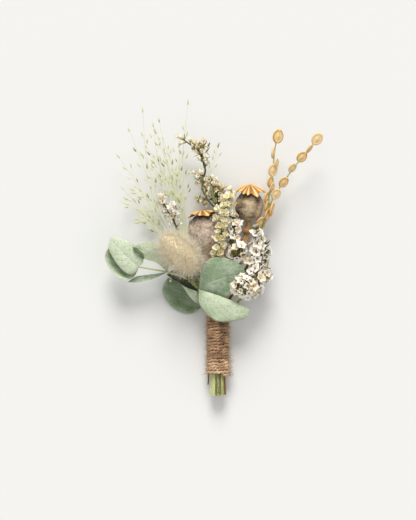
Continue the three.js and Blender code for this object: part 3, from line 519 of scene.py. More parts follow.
for phase in (0.0, math.pi):
    angle = add(yarn_tree, "ShaderNodeMath", {"operation": "MULTIPLY_ADD"},
                {0: turns, 1: 2 * math.pi, 2: phase})
    cosine = add(yarn_tree, "ShaderNodeMath", {"operation": "COSINE"}, {0: angle})
    sine = add(yarn_tree, "ShaderNodeMath", {"operation": "SINE"}, {0: angle})
    one = add(yarn_tree, "ShaderNodeVectorMath", {"operation": "SCALE"},
              {0: across, "Scale": cosine})
    two = add(yarn_tree, "ShaderNodeVectorMath", {"operation": "SCALE"},
              {0: third, "Scale": sine})
    way = add(yarn_tree, "ShaderNodeVectorMath", {"operation": "ADD"}, {0: one, 1: two})
    offset = add(yarn_tree, "ShaderNodeVectorMath", {"operation": "SCALE"},
                 {0: way, "Scale": start.outputs["Ply_offset"]})
    moved = add(yarn_tree, "GeometryNodeSetPosition",
                links={"Geometry": chain, "Offset": offset})
    tilted = add(yarn_tree, "GeometryNodeSetCurveTilt", links={"Curve": moved, "Tilt": angle})
    add(yarn_tree, "GeometryNodeCurveToMesh",
        links={"Curve": tilted, "Profile Curve": star, "Fill Caps": True}, to=both.inputs[0])
close(add(yarn_tree, "GeometryNodeSetShadeSmooth", links={"Geometry": both}))

# %% The jute material
# Retted bast fibre: matt, golden brown, streaked dark and light from fibre to fibre
JUTE, tree, surface = new_material("raw_jute_fibre", 0.9, **SHEEN)
tint = add(tree, "ShaderNodeAttribute", {"attribute_name": "tint"}).outputs["Fac"]
place = add(tree, "ShaderNodeTexCoord").outputs["Object"]
fibres = add(tree, "ShaderNodeMapping", links={0: place, "Scale": (900, 3600, 900)})
streaks = add(tree, "ShaderNodeTexNoise", links={"Vector": fibres, "Scale": 1.0, "Detail": 3.0})
patches = add(tree, "ShaderNodeTexNoise", links={"Vector": place, "Scale": 260.0, "Detail": 2.0})
mixed = add(tree, "ShaderNodeMath", {"operation": "MULTIPLY_ADD"},
            {0: patches, 1: 1.2, 2: tint})
graded(tree, mixed, streaks, 0.6, 0.88,
       {0.0: "#6f5239", 0.35: "#a07c5b", 0.6: "#c49f7a", 1.0: "#f0d4ae"},
       to=surface.inputs["Base Color"])
add(tree, "ShaderNodeBump", links={"Strength": 0.5, "Distance": 0.0001, "Height": streaks},
    to=surface.inputs["Normal"])

# %% [markdown]
# Wound by hand, the turns are not quite level: they lean a little to and fro, and the last
# five lie over the others' ends, so they stand out further; their lighter tint is painted light.

# %% Winding the twine
TWINE_PITCH = 1.45
COIL_RADIUS = 4.95
YARN_HALF = 0.7
LIGHT_TURNS = 5
STEP = 0.35
TWINE_GAP = 0.15

wound = (WRAP_LENGTH - 2 * YARN_HALF) / TWINE_PITCH
angles = np.arange(0, wound * 2 * math.pi, STEP / COIL_RADIUS)
turn = angles / (2 * math.pi)
round_it = np.stack(
    [COIL_RADIUS * np.sin(angles), -TWINE_PITCH * turn, COIL_RADIUS * np.cos(angles)], 1)
lean = 0.75 * wave_at(round_it, 4.0, 3.0) + 0.45 * wave_at(round_it * (1, 2.5, 1), 3.0, 9.0)
fade = np.clip(turn * 2, 0, 1) * np.clip((wound - turn) * 2, 0, 1)
proud = 0.12 * np.clip((turn - wound + LIGHT_TURNS) * 3, 0, 1)
outward = COIL_RADIUS + 0.5 * wave_at(round_it * (1, 3, 1), 3.5, 5.0) + proud
path = np.stack([
    outward * np.sin(angles),
    -YARN_HALF - TWINE_PITCH * turn + lean * fade,
    BUNDLE_HEIGHT + 0.1 - outward * np.cos(angles),
], 1)
path[:, 2] = np.maximum(path[:, 2], YARN_HALF + TWINE_GAP)
# The last turns are tinted lighter, as painted light where they stand out
painted_light_on_top_turns = np.clip((turn - wound + LIGHT_TURNS + 0.3) / 0.6, 0, 1)
# A strip right of the middle, on the upper half, is darker, and less so on the last turns
dark_strip = np.exp(-((path[:, 0] - 1.9) / 1.6) ** 2) * (path[:, 2] > BUNDLE_HEIGHT)
mark = dark_strip * (1 - 0.7 * painted_light_on_top_turns) * (0.5 + wave_at(path, 2.0, 12.0))
helix = Pile()
helix.add(path, edges=chain_edges(path), tint=0.46 + 0.28 * painted_light_on_top_turns - 0.55 * mark)
twine = grow(helix.make("jute_twine"), yarn_tree, Material=JUTE)
length = np.linalg.norm(np.diff(path, axis=0), axis=1).sum()
print("turns of twine:", round(wound, 1), "length in mm:", round(length))

# %% [markdown]
# Jute is hairy. Short fibres stand off the yarn all over, and a few long ones stray from it.
# The tree scatters points on the yarn's surface and sets a thin bent fibre on each.

# %% The hair tree
hair_tree, start, close = new_tree(
    "hairs_on_surface", Hair="object", Density=1.0, Seed=1, Smallest=0.5, Largest=1.0,
    Sweep="vector", Spread=0.4, Floor=-1.0, Material="material")
strewn = add(hair_tree, "GeometryNodeDistributePointsOnFaces",
             links={"Mesh": start.outputs["Geometry"], "Density": start.outputs["Density"],
                    "Seed": start.outputs["Seed"]})
shape = add(hair_tree, "GeometryNodeObjectInfo", links={"Object": start.outputs["Hair"]})
askew = add(hair_tree, "FunctionNodeRandomValue", {"data_type": "FLOAT_VECTOR"},
            {0: (-1, -1, -1), 1: (1, 1, 1), "Seed": 3})
scatter = add(hair_tree, "ShaderNodeVectorMath", {"operation": "SCALE"},
              {0: askew, "Scale": start.outputs["Spread"]})
swept = add(hair_tree, "ShaderNodeVectorMath", {"operation": "ADD"},
            {0: strewn.outputs["Normal"], 1: start.outputs["Sweep"]})
aim = add(hair_tree, "ShaderNodeVectorMath", {"operation": "ADD"}, {0: swept, 1: scatter})
pointed = add(hair_tree, "FunctionNodeAlignRotationToVector", {"axis": "Z"}, {"Vector": aim})
roll = add(hair_tree, "FunctionNodeRandomValue", {"data_type": "FLOAT"},
           {2: 0.0, 3: 2 * math.pi, "Seed": 4})
about = add(hair_tree, "FunctionNodeAxisAngleToRotation", links={"Axis": (0, 0, 1), "Angle": roll})
rolled = add(hair_tree, "FunctionNodeRotateRotation", {"rotation_space": "LOCAL"},
             {0: pointed, 1: about})
size = add(hair_tree, "FunctionNodeRandomValue", {"data_type": "FLOAT"},
           {2: start.outputs["Smallest"], 3: start.outputs["Largest"], "Seed": 5})
tuft = add(hair_tree, "GeometryNodeInstanceOnPoints",
           links={"Points": strewn.outputs["Points"], "Instance": shape.outputs["Geometry"],
                  "Rotation": rolled, "Scale": size})
shade = add(hair_tree, "FunctionNodeRandomValue", {"data_type": "FLOAT"},
            {2: 0.0, 3: 1.0, "Seed": 6})
tinted = add(hair_tree, "GeometryNodeStoreNamedAttribute",
             {"data_type": "FLOAT", "domain": "INSTANCE"},
             {"Geometry": tuft, "Name": "tint", "Value": shade})
real = add(hair_tree, "GeometryNodeRealizeInstances", links={"Geometry": tinted})
where = add(hair_tree, "GeometryNodeInputPosition")
apart = add(hair_tree, "ShaderNodeSeparateXYZ", links={0: where})
above = add(hair_tree, "ShaderNodeMath", {"operation": "MAXIMUM"},
            {0: apart.outputs["Z"], 1: start.outputs["Floor"]})
lifted = add(hair_tree, "ShaderNodeCombineXYZ",
             links={0: apart.outputs["X"], 1: apart.outputs["Y"], 2: above})
close(add(hair_tree, "GeometryNodeSetPosition",
          links={"Geometry": real, "Position": lifted}))


def hair_shape(name, length, root, tip, bend):
    """One hair along +Z that bends towards +X, as a template for the tree."""
    rings, sides = 4, 3
    along = np.linspace(0, 1, rings)[:, None]
    angle = 2 * math.pi * np.arange(sides) / sides
    points = turned(root + (tip - root) * along, length * along, angle)
    points[:, 0] += np.repeat(bend * length * along * along, sides)
    caps = [tuple(range(sides))[::-1], tuple(range((rings - 1) * sides, rings * sides))]
    hair = Pile()
    hair.add(points, grid_faces(rings, sides, around=True) + caps, along=np.repeat(along, sides))
    return weld(hair.make(name, at=0))


def coat(base, name, hair, material, **how):
    """A coat of hairs that stand on a copy of a piece; only the hairs stay of it."""
    piece = base.copy()
    piece.data = base.data.copy()
    piece.name = name
    bpy.context.scene.collection.objects.link(piece)
    grow(piece, hair_tree, Hair=hair, Material=material, **how)
    put_away(hair)
    return piece


# %% Stray fibres and wisps
LOWEST_FIBRE = 0.06
WISPS, WISPS_ON_RIGHT = 34, 26

fibre = hair_shape("jute_fibre_shape", 2.1, 0.03, 0.015, 0.5)
fuzz = coat(twine, "jute_stray_fibres", fibre, JUTE, Floor=to_row((0, 0, LOWEST_FIBRE))[2],
            Density=1.9e6, Seed=11, Smallest=0.25, Largest=1.15, Spread=1.1)
dress(twine, "jute_twine", "twine_wrap")
dress(fuzz, "jute_twine")
wisps = Stems()
rng = np.random.default_rng(8)
for i in range(WISPS):
    side = 1 if i < WISPS_ON_RIGHT else -1
    foot = np.array([side * 5, rng.uniform(-31, -22 if side > 0 else -2), rng.uniform(5, 9)])
    way = np.array([side * rng.uniform(1, 3.2), rng.uniform(-1.6, 1.6), rng.uniform(-1, 1)])
    bend = rng.uniform(-1, 1, 3)
    wisps.add(smooth([foot, foot + 0.5 * way + bend, foot + way], 9), 0.08, 0.05, 0.3)
dress(wisps.grow("jute_wisps", JUTE, sides=4), "jute_twine")

# %% [markdown]
# Eucalyptus leaves are leathery and almost flat, round to oval, with a waxy bloom that makes
# them pale grey green. Each blade is stretched between a left rim, a midrib and a right rim, so
# its outline can be drawn as three short rows of places. Both faces meet in a thin rim.

# %% Blades
LEAF_ROWS = 48
LEAF_COLUMNS = 32
LEAF_THICKNESS = 0.42


def leaf(pile, left, rib, right, tint, seed, crown=(0, 0), ripple=0.0, fade=(0, 0), curl=0.0):
    """Adds one blade: crown arches each half, ripple waves the rims, curl turns them up,
    fade shifts the tint of each half towards its rim, as painted shade where it darkens and painted
    light where it lightens."""
    along = np.linspace(0, 1, LEAF_ROWS + 1)
    side = np.linspace(-1, 1, LEAF_COLUMNS + 1)
    middle = smooth(rib, LEAF_ROWS + 1)
    edges = [smooth([rib[0], *rim, rib[-1]], LEAF_ROWS + 1) for rim in (left, right)]
    up = unit(np.cross(edges[1] - edges[0], headings(middle)))
    reach = np.abs(side)[None, :]
    rim = np.where(side[None, :, None] < 0, edges[0][:, None], edges[1][:, None])
    half = np.where(side < 0, *crown)[None, :]
    taper = np.sin(math.pi * along)[:, None]
    wave = np.sin(9 * along[:, None] + 2 * side[None, :])
    lift = (4 * half * reach * (1 - reach) + ripple * reach * wave + curl * reach**6) * taper
    grid = middle[:, None] + (rim - middle[:, None]) * reach[..., None]
    grid = grid + up[:, None] * lift[..., None]
    # The midrib is a shallow groove and the blade is gently cockled from drying
    flat = grid.reshape(-1, 3)
    sizes = ((0.45, 6.0, 0), (0.2, 2.2, 7), (0.07, 0.9, 3))
    cockle = sum(deep * wave_at(flat, wide, seed + more) for deep, wide, more in sizes)
    groove = -0.07 * np.exp(-(side / 0.05) ** 2)[None, :] * taper
    grid = grid + up[:, None] * (cockle.reshape(grid.shape[:2]) * taper + groove)[..., None]
    normal = unit(np.cross(np.gradient(grid, axis=1), np.gradient(grid, axis=0)))
    # At its two ends the blade shrinks to a point, which has no slope of its own
    normal[[0, -1]] = up[[0, -1]][:, None]
    thick = LEAF_THICKNESS / 2 * (1 - reach**10) * np.minimum(1, taper * 6)
    faces = grid_faces(LEAF_ROWS + 1, LEAF_COLUMNS + 1)
    numbers = {
        "along": np.repeat(along, LEAF_COLUMNS + 1),
        "across": np.tile(side, LEAF_ROWS + 1),
        "tint": np.tile(tint + np.where(side < 0, *fade) * side**2, LEAF_ROWS + 1),
    }
    for face in (1, -1):
        layer = grid + face * normal * thick[..., None]
        pile.add(layer.reshape(-1, 3), faces if face == 1 else [f[::-1] for f in faces], **numbers)


# %% The leaf's material
# A dried waxed leaf: satin under a dusty bloom, paler along the veins and straw at the rim
LEAF, tree, surface = new_material("bloomed_eucalyptus_leaf", 0.62, **SHEEN)
tint, along, across = (add(tree, "ShaderNodeAttribute", {"attribute_name": field}).outputs["Fac"]
                       for field in ("tint", "along", "across"))
place = add(tree, "ShaderNodeTexCoord").outputs["Object"]
shade = add(tree, "ShaderNodeValToRGB", links={0: tint},
            stops={0.0: "#cfdcc0", 0.35: "#a9bf97", 0.62: "#8ba282", 0.8: "#56703f",
                   1.0: "#26361a"})
dust = add(tree, "ShaderNodeTexNoise",
           links={"Vector": place, "Scale": 160.0, "Detail": 9.0, "Roughness": 0.75})
powder = add(tree, "ShaderNodeMapRange", links={0: dust, 1: 0.43, 2: 0.65, 4: 0.6})
dusted = add(tree, "ShaderNodeValToRGB", links={0: tint},
             stops={0.6: "#dbe3d4", 0.8: "#8e9f87", 1.0: "#34432a"})
blotch = add(tree, "ShaderNodeTexNoise",
             links={"Vector": place, "Scale": 900.0, "Detail": 6.0, "Distortion": 0.6})
blotched = add(tree, "ShaderNodeValToRGB", links={0: blotch},
               stops={0.38: "#bac9ae", 0.55: "#ffffff"})
half_bloom = add(tree, "ShaderNodeMix", {"data_type": "RGBA", "blend_type": "MULTIPLY"},
                 {0: 0.5, MIX_A: shade, MIX_B: blotched})
bloomed = add(tree, "ShaderNodeMix", {"data_type": "RGBA"},
              {0: powder, MIX_A: half_bloom, MIX_B: dusted})
# Side veins leave the midrib about every 2.5 mm and run slantwise to the rim
far = add(tree, "ShaderNodeMath", {"operation": "ABSOLUTE"}, {0: across})
slant = add(tree, "ShaderNodeMath", {"operation": "MULTIPLY_ADD"}, {0: far, 1: -2.6, 2: 0.0})
spaced = add(tree, "ShaderNodeMath", {"operation": "MULTIPLY_ADD"}, {0: along, 1: 9.0, 2: slant})
wobble = add(tree, "ShaderNodeTexNoise", links={"Vector": place, "Scale": 150.0})
wavy = add(tree, "ShaderNodeMath", {"operation": "MULTIPLY_ADD"}, {0: wobble, 1: 0.9, 2: spaced})
saw = add(tree, "ShaderNodeMath", {"operation": "PINGPONG"}, {0: wavy, 1: 0.5})
vein = add(tree, "ShaderNodeMapRange", links={0: saw, 1: 0.0, 2: 0.12, 3: 1.0, 4: 0.0})
midrib = add(tree, "ShaderNodeMapRange", links={0: far, 1: 0.0, 2: 0.06, 3: 1.0, 4: 0.0})
lines = add(tree, "ShaderNodeMath", {"operation": "MAXIMUM"}, {0: vein, 1: midrib})
faint = add(tree, "ShaderNodeMath", {"operation": "MULTIPLY"}, {0: lines, 1: 0.09})
veined = add(tree, "ShaderNodeMix", {"data_type": "RGBA"},
             {0: faint, MIX_A: bloomed, MIX_B: colour("#dbe2c4")})
rim = add(tree, "ShaderNodeMapRange", links={0: far, 1: 0.955, 2: 1.0})
rim_part = add(tree, "ShaderNodeMath", {"operation": "MULTIPLY"}, {0: rim, 1: 0.7})
add(tree, "ShaderNodeMix", {"data_type": "RGBA"},
    {0: rim_part, MIX_A: veined, MIX_B: colour("#cfd6a8")}, to=surface.inputs["Base Color"])
relief = add(tree, "ShaderNodeMath", {"operation": "MULTIPLY_ADD"}, {0: lines, 1: -0.6, 2: dust})
add(tree, "ShaderNodeBump", links={"Strength": 0.8, "Distance": 0.0003, "Height": relief},
    to=surface.inputs["Normal"])

# %% The left eucalyptus sprig
NEAR_NODE = (-25, 21, 12.6)
FAR_NODE = (-39.3, 23.6, 15.2)

leaves = Pile()
leaf(leaves, tint=0.02, crown=(0.7, 0.4), ripple=0.25, seed=1,
     left=[(-40.8, 21, 15.2), (-43.9, 19.9, 15.6), (-47.4, 21.9, 15.9), (-51.8, 27.4, 16.3),
           (-54.4, 33.3, 16.6)],
     rib=[FAR_NODE, (-43.6, 27.2, 16.6), (-48.3, 32, 17.6), (-53.6, 38.2, 16.8)],
     right=[(-37.2, 26, 15.3), (-38, 30.5, 15.8), (-42.3, 35, 16.4), (-47.8, 37.6, 16.9)])
# The leaf below is tinted dark as painted shade from the leaf above, and lighter towards its left
# rim as painted light
leaf(leaves, tint=0.74, fade=(-0.9, 0.0), ripple=0.55, curl=0.8, seed=2,
     left=[(-42, 18.2, 13.6), (-46.6, 16.8, 13.8), (-51.8, 20, 14), (-56, 27, 14.4),
           (-56, 30.6, 14.6)],
     rib=[FAR_NODE, (-44.5, 21.4, 10.2), (-50.4, 26, 8.8), (-54.4, 33.6, 13)],
     right=[(-40, 26.5, 12.8), (-43.6, 30.8, 12), (-48.8, 34.2, 12)])
leaf(leaves, tint=0.1, fade=(0.15, -0.05), crown=(0, 0.3), curl=0.4, seed=3,
     left=[(-30.3, 25.3, 13), (-36.7, 27.8, 16.6), (-40.2, 30, 18.2)],
     rib=[NEAR_NODE, (-29.5, 27.3, 12.8), (-36, 31.3, 17.2), (-42.2, 33.1, 17.8)],
     right=[(-24.4, 27, 11.2), (-27.5, 33, 12.6), (-34.2, 36, 16.6), (-39.4, 35.2, 18.2)])
leaf(leaves, tint=0.7, fade=(-0.3, 0.0), crown=(-0.2, -0.2), seed=4,
     left=[(-30.5, 18.3, 11.8), (-35.4, 16.8, 12.6), (-40.6, 15.8, 12.4)],
     rib=[NEAR_NODE, (-30.8, 19.4, 11.8), (-38, 18.2, 12.4), (-45, 16, 12.4)],
     right=[(-29.6, 20.3, 9.4), (-36, 19.7, 9), (-41.6, 18.3, 9.8)])
# A narrow fold of the far leaf stands on edge beside it, tinted dark as painted shade
leaf(leaves, tint=0.78, seed=9,
     left=[(-41.6, 31.6, 18), (-38.6, 28.4, 16.8)],
     rib=[(-42.4, 33.5, 18.4), (-40.9, 32, 18.9), (-37.9, 29, 17.9), (-36.6, 27.4, 16.9)],
     right=[(-40.2, 32.8, 18.8), (-37, 29.9, 17.8)])
# This leaf slopes away from the light: its dark tint is painted shade, and it is lighter towards
# its left rim as painted light
leaf(leaves, tint=0.84, fade=(-0.22, 0.04), seed=5,
     left=[(-26.9, 15.8, 10.4), (-27.9, 12, 7.2), (-26.6, 7.4, 3.4), (-22.6, 3, 1), (-17, 0, 0.6),
           (-12, 0.5, 1.8)],
     rib=[(-24.8, 18.2, 12.2), (-23.8, 12.8, 8.8), (-19.8, 7.8, 5.8), (-14.6, 4.6, 4.8),
          (-8.6, 3, 5.6)],
     right=[(-21.6, 17, 12.6), (-18.9, 15.5, 12.8), (-17, 13.1, 12.8), (-15.3, 10.3, 12.5),
            (-13, 7.5, 11.8), (-10.6, 5.5, 10.2)])
leaf(leaves, tint=0.14, crown=(0.1, 0.1), seed=8,
     left=[(-17, 13, 12.9), (-15.3, 10.2, 12.6), (-13, 7.4, 11.9), (-10.6, 5.4, 10.3)],
     rib=[(-18.4, 15, 12.9), (-14.8, 12, 12.9), (-11.9, 9.2, 11.9), (-9.2, 4.7, 9)],
     right=[(-15.2, 13.2, 12.4), (-12.2, 12, 11.6), (-10.2, 11.2, 11), (-9.1, 8, 10)])
# A leaf lies under the tail, tinted darkest green as painted shade there
leaf(leaves, tint=1.0, seed=10,
     left=[(-22, 17, 11.2), (-17, 14, 10.4), (-11, 11.4, 9.9)],
     rib=[(-25.6, 19.6, 11.6), (-19, 18.4, 10.8), (-12, 15.4, 10.2), (-7.6, 12, 9.6)],
     right=[(-22, 22.4, 11.2), (-17, 21.8, 10.8), (-10, 20.4, 10.4)])
dress(weld(leaves.make("eucalyptus_left_leaves", LEAF)), "eucalyptus_leaf", "eucalyptus_left")

stems = Stems()
stems.add(*outer(2, [(-5.6, 5.5, 6.8), (-10, 11.6, 8.3), (-16, 17.8, 10.2), NEAR_NODE], 0.5), 0.55,
          0.04, capped=True)
stems.add(smooth([NEAR_NODE, (-31, 22.1, 14), FAR_NODE], 16), 0.42, 0.36, 0.2)
dress(stems.grow("eucalyptus_left_twig", DRY_STEM), "eucalyptus_leaf")
bud = Pile()
small_bract(bud, np.array([-23.6, 15.9, 12.6]), (-0.1, 0.9, 0.5), 1.9, 0.75, 0.05)
dress(weld(bud.make("eucalyptus_left_bud", DRY_STEM)), "eucalyptus_leaf")

# %% The right eucalyptus sprig
RIGHT_NODE = (-9.6, 12.4, 12.4)
SIDE_SHOOTS = 10

leaves = Pile()
leaf(leaves, tint=0.62, crown=(0.3, 0.3), ripple=0.2, seed=6,
     left=[(-8.9, 19.6, 14), (-6.2, 26.2, 15.2), (-0.6, 28.4, 15.9), (6.6, 27, 15.8),
           (11.6, 24.2, 15.2)],
     rib=[RIGHT_NODE, (-3, 16.2, 13.9), (5, 18.8, 14.5), (13.8, 20.6, 14.4)],
     right=[(-4.6, 9.6, 11), (1.6, 7.9, 10.6), (6.8, 9.8, 11), (10.6, 14.4, 12.4)])
leaf(leaves, tint=0.06, fade=(0.0, 0.3), crown=(0.1, 0.4), ripple=0.25, seed=7,
     left=[(-4.6, 11, 13.4), (2.9, 8.4, 13.2), (9.4, 5.8, 13.2), (13.6, 4.1, 13.7)],
     rib=[RIGHT_NODE, (-4.6, 8.9, 14.8), (3, 6, 15.4), (9.6, 3.8, 15.2), (15.5, 2, 14.4)],
     right=[(-9.5, 6, 13.4), (-6.6, 1.2, 13.3), (-0.6, -3.4, 13.4), (7.6, -3.3, 13.9),
            (12.6, -2.2, 14.1), (15.3, -0.2, 14.3)])
dress(weld(leaves.make("eucalyptus_right_leaves", LEAF)), "eucalyptus_leaf", "eucalyptus_right")

stems = Stems()
stems.add(*outer(1, [(-3.6, 3.4, 8.7), (-6.6, 8, 10.4), RIGHT_NODE], 0.2), 0.55, 0.12, capped=True)
# Thin green side shoots fan out under the tail; their dark green is partly their own, partly
# painted shade under the tail
for i in range(SIDE_SHOOTS):
    foot = (-9.6 - 0.25 * i, 12 + 0.2 * i, 10.6)
    tip = (-7.8 - 1.3 * i, 22.4 - 0.16 * i, 11.8 + 0.2 * (i % 3))
    middle = (np.array(foot) + tip) / 2 + (0.5, 0, 0.5)
    stems.add(smooth([foot, middle, tip], 8), 0.24, 0.18, (0.58, 0.35, 0.62, 0.45)[i % 4])
dress(stems.grow("eucalyptus_right_twig", DRY_STEM), "eucalyptus_leaf")

# %% [markdown]
# The bunny-tail head is a small oval spike hidden in silky hairs. A solid core carries two
# coats: stout tapering awns that sweep to the tip and give it its tufts, and a dense down of
# hairs so fine that they only soften it.

# %% The bunny tail's material
# Silky plant hair: cream, tan at the root; light passes through it, so its shadows stay warm
SILK = {"Sheen Weight": 0.9, "Sheen Roughness": 0.5}
DOWN, tree, surface = new_material("bunny_tail_hair", 0.8, **SILK)
along, tint = (add(tree, "ShaderNodeAttribute", {"attribute_name": field}).outputs["Fac"]
               for field in ("along", "tint"))
shade = add(tree, "ShaderNodeValToRGB", links={0: along},
            stops={0.0: "#fff4d0", 0.3: "#fff9e4", 0.7: "#fffbee", 1.0: "#fffefa"})
warm = add(tree, "ShaderNodeValToRGB", links={0: tint},
           stops={0.35: "#ffffff", 0.8: "#fff8e6", 1.0: "#f6dfae"})
tinted = add(tree, "ShaderNodeMix", {"data_type": "RGBA", "blend_type": "MULTIPLY"},
             {0: 1.0, MIX_A: shade, MIX_B: warm}, to=surface.inputs["Base Color"])
through = add(tree, "ShaderNodeBsdfTranslucent", links={"Color": tinted})
add(tree, "ShaderNodeMixShader", links={0: 0.2, 1: surface, 2: through},
    to=tree.nodes["Material Output"].inputs["Surface"])

# The little spike inside is hidden by down; only its pale glow shows between the hairs
CORE, tree, surface = new_material("bunny_tail_core", 0.9, **SHEEN)
place = add(tree, "ShaderNodeTexCoord").outputs["Object"]
tufts = add(tree, "ShaderNodeTexNoise", links={"Vector": place, "Scale": 2000.0, "Detail": 2.0})
add(tree, "ShaderNodeValToRGB", links={0: tufts},
    stops={0.38: "#e8d0a0", 0.5: "#f6e9c8", 0.66: "#fdf5e0"},
    to=surface.inputs["Base Color"])

# %% Growing the bunny tail
TAIL_BASE = np.array([-9.4, 21.2, 18.6])
TAIL_TIP = np.array([-28.6, 40, 20.8])
TAIL_RADIUS = 6.2
TAIL_EGG = 0.14
TAIL_SWEEP = 0.3

axis = unit(TAIL_TIP - TAIL_BASE)
half = np.linalg.norm(TAIL_TIP - TAIL_BASE) / 2 - 2.2
rows, columns = 25, 32
polar = np.linspace(0, math.pi, rows)[:, None]
ball = turned(np.sin(polar), np.cos(polar), ring(columns))
ball[:, :2] *= TAIL_RADIUS * (1 - TAIL_EGG * ball[:, 2:])
ball[:, 2] *= half
ball *= 1 + 0.012 * wave_at(ball, 2.4, 8.0)[:, None]
ball = ball @ turn_to(axis).T + (TAIL_BASE + TAIL_TIP) / 2
core_pile = Pile()
core_pile.add(ball, grid_faces(rows, columns, around=True))
core = weld(core_pile.make("bunny_tail_core", CORE))

sweep = tuple(TAIL_SWEEP * axis)
awns = coat(core, "bunny_tail_awns", hair_shape("awn_shape", 5.0, 0.085, 0.03, 0.1), DOWN,
            Sweep=sweep, Density=3.6e6, Seed=21, Smallest=0.3, Largest=1.1, Spread=0.8)
down = coat(core, "bunny_tail_down", hair_shape("down_shape", 6.8, 0.045, 0.02, 0.2), DOWN,
            Sweep=sweep, Density=1.3e6, Seed=22, Smallest=0.45, Largest=1.15, Spread=0.75)
dress(core, "bunny_tail", "bunny_tail_head")
dress(awns, "bunny_tail")
dress(down, "bunny_tail")

stems = Stems()
stems.add(*outer(0, [(-1.4, 6, 8.9), (-5, 13, 10.3), (-8.6, 19, 11.8), (-9.8, 21, 14.4),
                     (-9.4, 21.9, 17.6)], 0), 0.55, 0.54, capped=True)
dress(stems.grow("bunny_tail_stalk", DRY_STEM), "straw_stem", "bunny_tail_stem")

# %% [markdown]
# A poppy's seed head is a hollow woody capsule under a flat cap of ridged rays. The capsule
# has about ten shallow ribs and a leathery, blotched skin. Dried, it is grey brown with darker
# bands, and the cap has gone golden.

# %% The capsule's material
CAPSULE, tree, surface = new_material("dry_poppy_capsule", 0.8)
place = add(tree, "ShaderNodeTexCoord").outputs["Object"]
along, tint = (add(tree, "ShaderNodeAttribute", {"attribute_name": field}).outputs["Fac"]
               for field in ("along", "tint"))
banded = add(tree, "ShaderNodeMapping", links={0: place, "Scale": (190, 300, 190)})
blotch = add(tree, "ShaderNodeTexNoise",
             links={"Vector": banded, "Scale": 1.0, "Detail": 2.0, "Distortion": 0.15})
speck = add(tree, "ShaderNodeTexNoise", links={"Vector": place, "Scale": 1700.0, "Detail": 3.0})
height = add(tree, "ShaderNodeMath", {"operation": "MULTIPLY_ADD"}, {0: speck, 1: 0.6, 2: blotch})
tan = add(tree, "ShaderNodeValToRGB", links={0: height},
          stops={0.6: "#5c4f45", 0.73: "#91816b", 0.84: "#b9a788", 1.0: "#d3c3a4"})
# The less ripened capsule is speckled evenly, without the bands
fine = add(tree, "ShaderNodeTexNoise", links={"Vector": place, "Scale": 660.0, "Detail": 4.0})
grey = graded(tree, fine, speck, 0.6, 0.0,
              {0.55: "#7d6e62", 0.7: "#b5a598", 0.84: "#d2c4b5", 1.0: "#e2d6ca"})
skin = add(tree, "ShaderNodeMix", {"data_type": "RGBA"}, {0: tint, MIX_A: grey, MIX_B: tan})
# Tan at the foot, and a dark rim under the cap: partly the skin's own colour, partly painted shade
# under the cap's overhang
ends = graded(tree, along, speck, 0.3, 0.0,
              {0.0: "#d8b183", 0.3: "#f8e0bf", 0.6: "#ffffff", 0.9: "#f4ece8", 1.0: "#4a3831"})
add(tree, "ShaderNodeMix", {"data_type": "RGBA", "blend_type": "MULTIPLY"},
    {0: 0.85, MIX_A: skin, MIX_B: ends}, to=surface.inputs["Base Color"])
add(tree, "ShaderNodeBump", links={"Strength": 0.5, "Distance": 0.00025, "Height": height},
    to=surface.inputs["Normal"])

# %% The cap's material
# Papery, sun-bleached ray tissue, golden on the ridges and brown in the valleys: partly its own
# colour, partly painted highlight on the crests and painted shade in the valleys
CAP, tree, surface = new_material("dry_poppy_cap", 0.6)
place = add(tree, "ShaderNodeTexCoord").outputs["Object"]
ridge = add(tree, "ShaderNodeAttribute", {"attribute_name": "ridge"}).outputs["Fac"]
grain = add(tree, "ShaderNodeTexNoise", links={"Vector": place, "Scale": 900.0, "Detail": 3.0})
graded(tree, ridge, grain, 0.5, 0.0,
       {0.2: "#6e421b", 0.45: "#b9803a", 0.72: "#e0b068", 1.0: "#f3d596"},
       to=surface.inputs["Base Color"])
add(tree, "ShaderNodeBump", links={"Strength": 0.4, "Distance": 0.0001, "Height": grain},
    to=surface.inputs["Normal"])

# %% Capsules
# In millimetres: profile is radius and height from the neck. broad widens the capsule
# sideways, foot is where its colours start on their ramp, tint 0 is grey and 1 is tan. Of the
# cap, droop and bend shape its fall, tilt leans it up, wave and ragged make it uneven, and
# notch cuts in between its rays.
POPPIES = {
    "left": {
        "top": (-7.9, 51, 7.7), "neck": (-4.6, 26.4, 6.9), "broad": 1.08, "foot": 0.0, "tint": 0.1,
        "profile": [(0, 0), (1.5, 0), (2.1, 2.4), (4.3, 6.4), (6.4, 10.6), (7.35, 14.6),
                    (7.35, 17.8), (6.6, 20.2), (5.2, 21.8), (2.2, 23.8), (0, 23.9)],
        "cap": 7.5, "tilt": 0.0, "droop": 1.7, "bend": 2.0, "wave": 0.7, "notch": 0.2,
        "ragged": 0.5,
    },
    "right": {
        "top": (15.9, 64.3, 8.5), "neck": (15.5, 46.6, 6.1), "broad": 1.0, "foot": 0.42,
        "tint": 1.0,
        "profile": [(0, 0), (1.5, 0), (3.4, 0.6), (5.7, 2.8), (6.9, 6.4), (6.75, 9.4), (5.8, 11.6),
                    (4.6, 13.4), (2.2, 16.6), (0, 16.8)],
        "cap": 7.9, "tilt": 0.18, "droop": 3.6, "bend": 1.3, "wave": 0.3, "notch": 0.22,
        "ragged": 0.8,
    },
}
# The skin is painted darker just under the cap: partly its own colour, partly painted shade under
# the overhang
DARK_SKIN_AND_SHADE_UNDER_CAP = 1.03
TABLE_GAP = 0.05
CAPSULE_RIBS = 10


